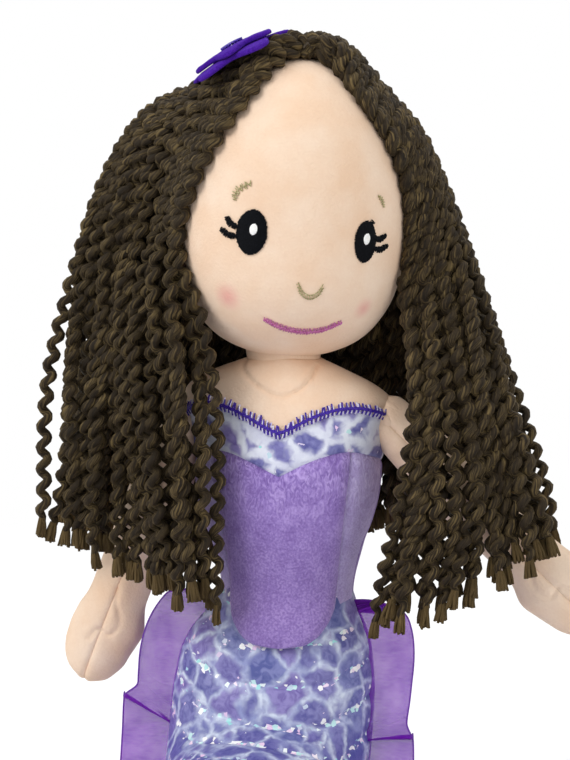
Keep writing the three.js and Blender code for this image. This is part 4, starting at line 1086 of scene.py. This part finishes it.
def crownSeat():
    polar = math.radians(flower["polar"])
    at = overScalp(flower["polar"], -flower["azimuth"], flower["lift"])
    out = Vector((-math.sin(polar), 0, math.cos(polar)))
    return np.array(Vector((0, 0, 1)).rotation_difference(out).to_matrix()), at


def onCrown(points):
    turn, at = crownSeat()
    return onHead(np.asarray(points) @ turn.T + at)


def offCrown(points):
    turn, at = crownSeat()
    return (inHead(points) - at) @ turn


def guideLine(bunch, share, lift):
    rows = bunch["guides"]
    shares = [row[0] for row in rows]
    first, last = bunch["parting"]
    parted = first + (last - first) * share
    start = hair["partingFront"] - (hair["partingFront"] + hair["partingBack"]) * parted
    tip = np.interp(share, [0, 0.4, 0.7, 1], bunch["tips"])
    hanging = []
    for i, level in enumerate(heights):
        out, back = (np.interp(share, shares, [row[i + 1][k] for row in rows]) for k in range(2))
        hanging.append([bunch["side"] * out, back, tip if i == len(heights) - 1 else level])
    root = overScalp(abs(start), 0 if start > 0 else 180, hair["rootLift"] + 0.4 * lift)
    to = inHead(np.array(hanging[0]))
    middle = []
    for way in hair["overScalp"]:
        at = root + (to - root) * way
        polar = math.degrees(math.acos(np.clip(at[2] / np.linalg.norm(at), -1, 1)))
        turned = math.degrees(math.atan2(at[0], -at[1]))
        middle.append(onHead(overScalp(polar, turned, hair["scalpLift"] + lift)))
    return smoothRows([onHead(root), *middle, *hanging], 70)


def pushedAside(points, table, clear, low, high):  # moves points between two heights out of an upright shape
    wide, deep = column(table, points[:, 2], 1) + clear, column(table, points[:, 2], 2) + clear
    near = np.sqrt((points[:, 0] / wide) ** 2 + (points[:, 1] / deep) ** 2)
    within = (points[:, 2] > low) & (points[:, 2] < high) & (near < 1)
    points[within, :2] /= near[within, None]
    return points


def pushedOut(line, clear):  # keeps a strand outside the head, the body and the arms, and below the flower
    line = line.copy()
    own = offCrown(line)
    reach = np.hypot(own[:, 0], own[:, 1])
    over = (reach < flower["outer"] + keepOff["flowerEdge"]) & (own[:, 2] > keepOff["flowerBelow"])
    own[over, 2] = keepOff["flowerBelow"]
    line[over] = onCrown(own[over])
    line = onHead(pushedAside(inHead(line), headTable, clear, keepOff["headLow"], keepOff["headHigh"]))
    line = pushedAside(line, bodyTable, clear, 0, keepOff["bodyTop"])
    for name in ("left", "right"):
        origin, down = armFrame(name)[1:3]
        along = np.clip((line - origin) @ down, 0, keepOff["armEnd"])
        close = origin + along[:, None] * down
        away = line - close
        need = np.maximum(np.interp(along, armTable[:, 0], armTable[:, 1]), keepOff["armRadius"]) + clear
        within = np.linalg.norm(away, axis=1) < need
        line[within] = close[within] + unit(away[within]) * need[within, None]
    return line


def strandLines(bunch):
    lines = []
    count, loose = bunch["strands"], hair["looseFrom"]
    for i in range(count):
        share = (i + 0.5 + rng.uniform(-0.3, 0.3)) / count
        layer = i % hair["layers"]
        apart = max(share - loose, 0) / (1 - loose) if layer == 2 and bunch["side"] < 0 else 0
        if apart and i % 2:
            continue  # the outermost strands hang apart, with gaps between them
        line = guideLine(bunch, share, layer * hair["layerLift"])
        fall = smoothStep((hair["fallFrom"] - line[:, 2]) / hair["fadeOver"])
        out = unit((line - head["middle"]) * [1, 1, 0])
        depth = (layer - 1) * hair["spread"] * 0.8 + rng.normal(0, 1.2) + hair["apart"] * apart
        wave = rng.uniform(0, 2 * math.pi, 2)
        bend = np.stack([*(np.sin(line[:, 2] / hair["waves"][k] + wave[k]) for k in range(2)), 0 * fall], -1)
        line = line + out * (depth * fall)[:, None] + bend * (hair["wander"] * fall)[:, None]
        stop = rng.uniform(-3, 5) if i else -5
        line[:, 2] += stop * smoothStep((hair["endFrom"] - line[:, 2]) / hair["fadeOver"])
        for _ in range(2):
            line = pushedOut(line, hair["clear"])
            line[2:-1] = (line[1:-2] + 2 * line[2:-1] + line[3:]) / 4
        lines.append(pushedOut(line, hair["clear"] - 0.1))
    return lines


def tuftLines(strands):  # cut ends, where the yarn opens into a short blunt brush
    lines = []
    for line in strands:
        end, way = line[-1], unit(line[-1] - line[-4])
        first = unit(np.cross(way, [0, 1, 0]))
        second = np.cross(way, first)
        for _ in range(hair["fibres"]):
            angle, reach = rng.uniform(0, 2 * math.pi), hair["fibreSpread"] * math.sqrt(rng.random())
            aside = (first * math.cos(angle) + second * math.sin(angle)) * reach
            drop = rng.uniform(*hair["fibreDrop"])
            lines.append([end - way * hair["fibreRoot"] + aside * 0.5, end + aside * 0.95,
                          end + way * drop * 0.5 + aside * 1.15,
                          end + way * drop + aside * 1.2 + rng.normal(0, hair["fray"], 3)])
    return lines


def makeHair():
    for node, bunch in bunches.items():
        words = node.split("_")
        name = words[0] + "".join(word.capitalize() for word in words[1:])
        strands = strandLines(bunch)
        curls = sweptPiece(name, strands, "yarn", hair["yarn"], step=hair["step"], sides=hair["sides"],
                           curl=hair["curl"], pitch=hair["pitch"], taper=0.4)
        tufts = sweptPiece(name + "Ends", tuftLines(strands), "yarn", hair["fibre"], step=1.7, sides=5,
                           taper=0.22, tip=1.0)
        bend = ("neck", (0, 0, 0.205), (0, 0, 0.165))
        dress(curls, "head", "yarn", [node], bend=bend)
        dress(tufts, "head", "yarn", bend=bend)
        print(name, len(curls.data.polygons), "and", len(tufts.data.polygons), "faces")
    lines = []
    half = hair["stitchHalf"]
    for start in np.arange(hair["partingFront"], -hair["partingBack"], -hair["stitchPitch"]):
        for lean in (-half, half):
            spots = [overScalp(abs(start - hair["stitchSlant"] * across), 0 if start > 0 else 180, lift)
                     + np.array([across, 0, 0])
                     for across, lift in zip((-lean, 0, lean), hair["stitchLifts"])]
            lines.append(onHead(spots))
    dress(sweptPiece("partingStitches", lines, "brown", 0.3), "head", "brown", ["parting_stitches"])


makeHair()
print("hair sewn on")


# Felt flower on the right of the crown

def feltPlate(name, radius, low, turn, node):
    rings, cols = 16, 160
    angle = np.linspace(0, 2 * math.pi, cols, endpoint=False)
    deep = flower["petalDepth"]
    edge = radius * (1 - deep + deep * np.cos(flower["petals"] * (angle + turn)))
    share = np.concatenate([np.linspace(0.02, 0.93, rings), [0.97, 0.99, 1.0]])
    rise = flower["felt"] / 2 * np.concatenate([np.ones(rings), [0.86, 0.6, 0.25]])
    reach = share[:, None] * edge[None]
    x, y = reach * np.cos(angle), reach * np.sin(angle)
    bowed = low + flower["felt"] / 2 - flower["droop"] * (reach / flower["outer"]) ** 2
    fuzz = flower["fuzz"] * lumps(np.stack([x, y, 0 * x], -1), 3.0, turn)
    top = np.stack([x, y, bowed + rise[:, None] + fuzz], -1)[::-1]
    under = np.stack([x, y, bowed - rise[:, None]], -1)
    rows = np.concatenate([under, top])
    ring = range(cols)
    faces = [tuple(ring)[::-1]] + gridFaces(len(rows), cols, True)
    faces.append(tuple((len(rows) - 1) * cols + c for c in ring))
    made = mergeDoubles(meshObject(name, onCrown(rows.reshape(-1, 3)), faces))
    dress(made, "head", "felt", [node])


def makeFlower():
    second = flower["felt"] + flower["gap"]
    feltPlate("flowerLowerPetals", flower["outer"], 0, 0, "flower_lower_petals")
    feltPlate("flowerUpperPetals", flower["inner"], second, math.pi / flower["petals"], "flower_upper_petals")
    base = second + flower["felt"] + 0.2
    lines = []
    across = np.linspace(-1, 1, 7)
    for k in range(flower["stitches"]):
        angle = k * math.pi / flower["stitches"] + rng.uniform(-0.1, 0.1)
        x, y = (flower["button"] * across * way for way in (math.cos(angle), math.sin(angle)))
        lines.append(onCrown(np.stack([x, y, base + 0.35 * (1 - across**2) + 0.03 * k], -1)))
    dress(sweptPiece("flowerCentreStitches", lines, "violet", 0.42, step=0.5), "head", "violet",
          ["flower_centre"])


makeFlower()
print("flower sewn on")


# Floor, light and camera

studio = {
    "azimuth": 8, "elevation": 5, "distance": 700, "target": [-0.5, -4, 164.8], "lens": 94.5,
    "floorReach": 3.0, "floorFade": [0.42, 0.75], "floorGlow": 0.62, "world": 0.42,
    "lampAim": (0, -0.02, 0.16),
    "lamps": {"keyLight": [(-0.85, -0.8, 1.05), 0.8, 12.2], "fillLight": [(1.1, -0.6, 0.75), 1.0, 5.2],
              "topLight": [(0.1, 0.4, 1.3), 1.0, 5.5]},  # place, size, power
}


def seenItself(add):  # 1 where the surface itself is seen, 0 for the light it gives
    path = add("LightPath")
    seen = add("Math", {0: path["Is Camera Ray"], 1: path["Is Glossy Ray"]}, operation="MAXIMUM")[0]
    return add("Math", {0: seen, 1: path["Is Transmission Ray"]}, operation="MAXIMUM")[0]


def makeFloor():
    mesh = bpy.data.meshes.new("floor")
    reach = studio["floorReach"]
    mesh.from_pydata([(-reach, -reach, 0), (reach, -reach, 0), (reach, reach, 0), (-reach, reach, 0)], [],
                     [(0, 1, 2, 3)])
    material, add, where = newMaterial("paleFloor")
    seen = seenItself(add)
    paint = add("BsdfDiffuse", {"Color": "#f2f2f2"})[0]
    glow = add("Emission", {"Color": "#ffffff", "Strength": studio["floorGlow"]})[0]
    dull = add("BsdfDiffuse", {"Color": "#bdbdbd"})[0]
    both = add("AddShader", {0: glow, 1: dull})[0]
    near = add("MixShader", {0: seen, 1: paint, 2: both})[0]
    clear = add("BsdfTransparent")[0]
    away = add("VectorMath", {0: where}, operation="LENGTH")["Value"]
    first, last = studio["floorFade"]
    fade = add("MapRange", {"Value": away, "From Min": first, "From Max": last},
               interpolation_type="SMOOTHSTEP")["Result"]
    fade = add("Math", {0: fade, 1: seen}, operation="MULTIPLY")[0]
    mixed = add("MixShader", {0: fade, 1: near, 2: clear})[0]
    add("OutputMaterial", {"Surface": mixed})
    mesh.materials.append(material)
    linked("floor", mesh)


def makeLight():
    world = bpy.data.worlds.new("studioWorld")
    scene.world = world
    world.use_nodes = True
    world.node_tree.nodes.clear()
    add = partial(addNode, world.node_tree)
    dim = add("Background", {"Color": "#ffffff", "Strength": studio["world"]})[0]
    white = add("Background", {"Color": "#ffffff", "Strength": 1.0})[0]
    mixed = add("MixShader", {0: seenItself(add), 1: dim, 2: white})[0]
    add("OutputWorld", {"Surface": mixed})
    for name, (place, size, power) in studio["lamps"].items():
        lamp = bpy.data.lights.new(name, "AREA")
        lamp.energy, lamp.size = power, size
        obj = linked(name, lamp)
        obj.location = place
        obj.rotation_euler = (Vector(studio["lampAim"]) - Vector(place)).to_track_quat("-Z", "Y").to_euler()


def makeCamera():
    camera = bpy.data.cameras.new("camera")
    camera.lens = studio["lens"]
    obj = linked("camera", camera)
    azimuth, elevation = math.radians(studio["azimuth"]), math.radians(studio["elevation"])
    way = Vector((math.sin(azimuth) * math.cos(elevation), -math.cos(azimuth) * math.cos(elevation),
                  math.sin(elevation)))
    obj.location = Vector(studio["target"]) * metre + way * studio["distance"] * metre
    obj.rotation_euler = (-way).to_track_quat("-Z", "Y").to_euler()
    scene.camera = obj
    scene.view_settings.view_transform = "Standard"


makeFloor()
makeLight()
makeCamera()
print("scene ready")
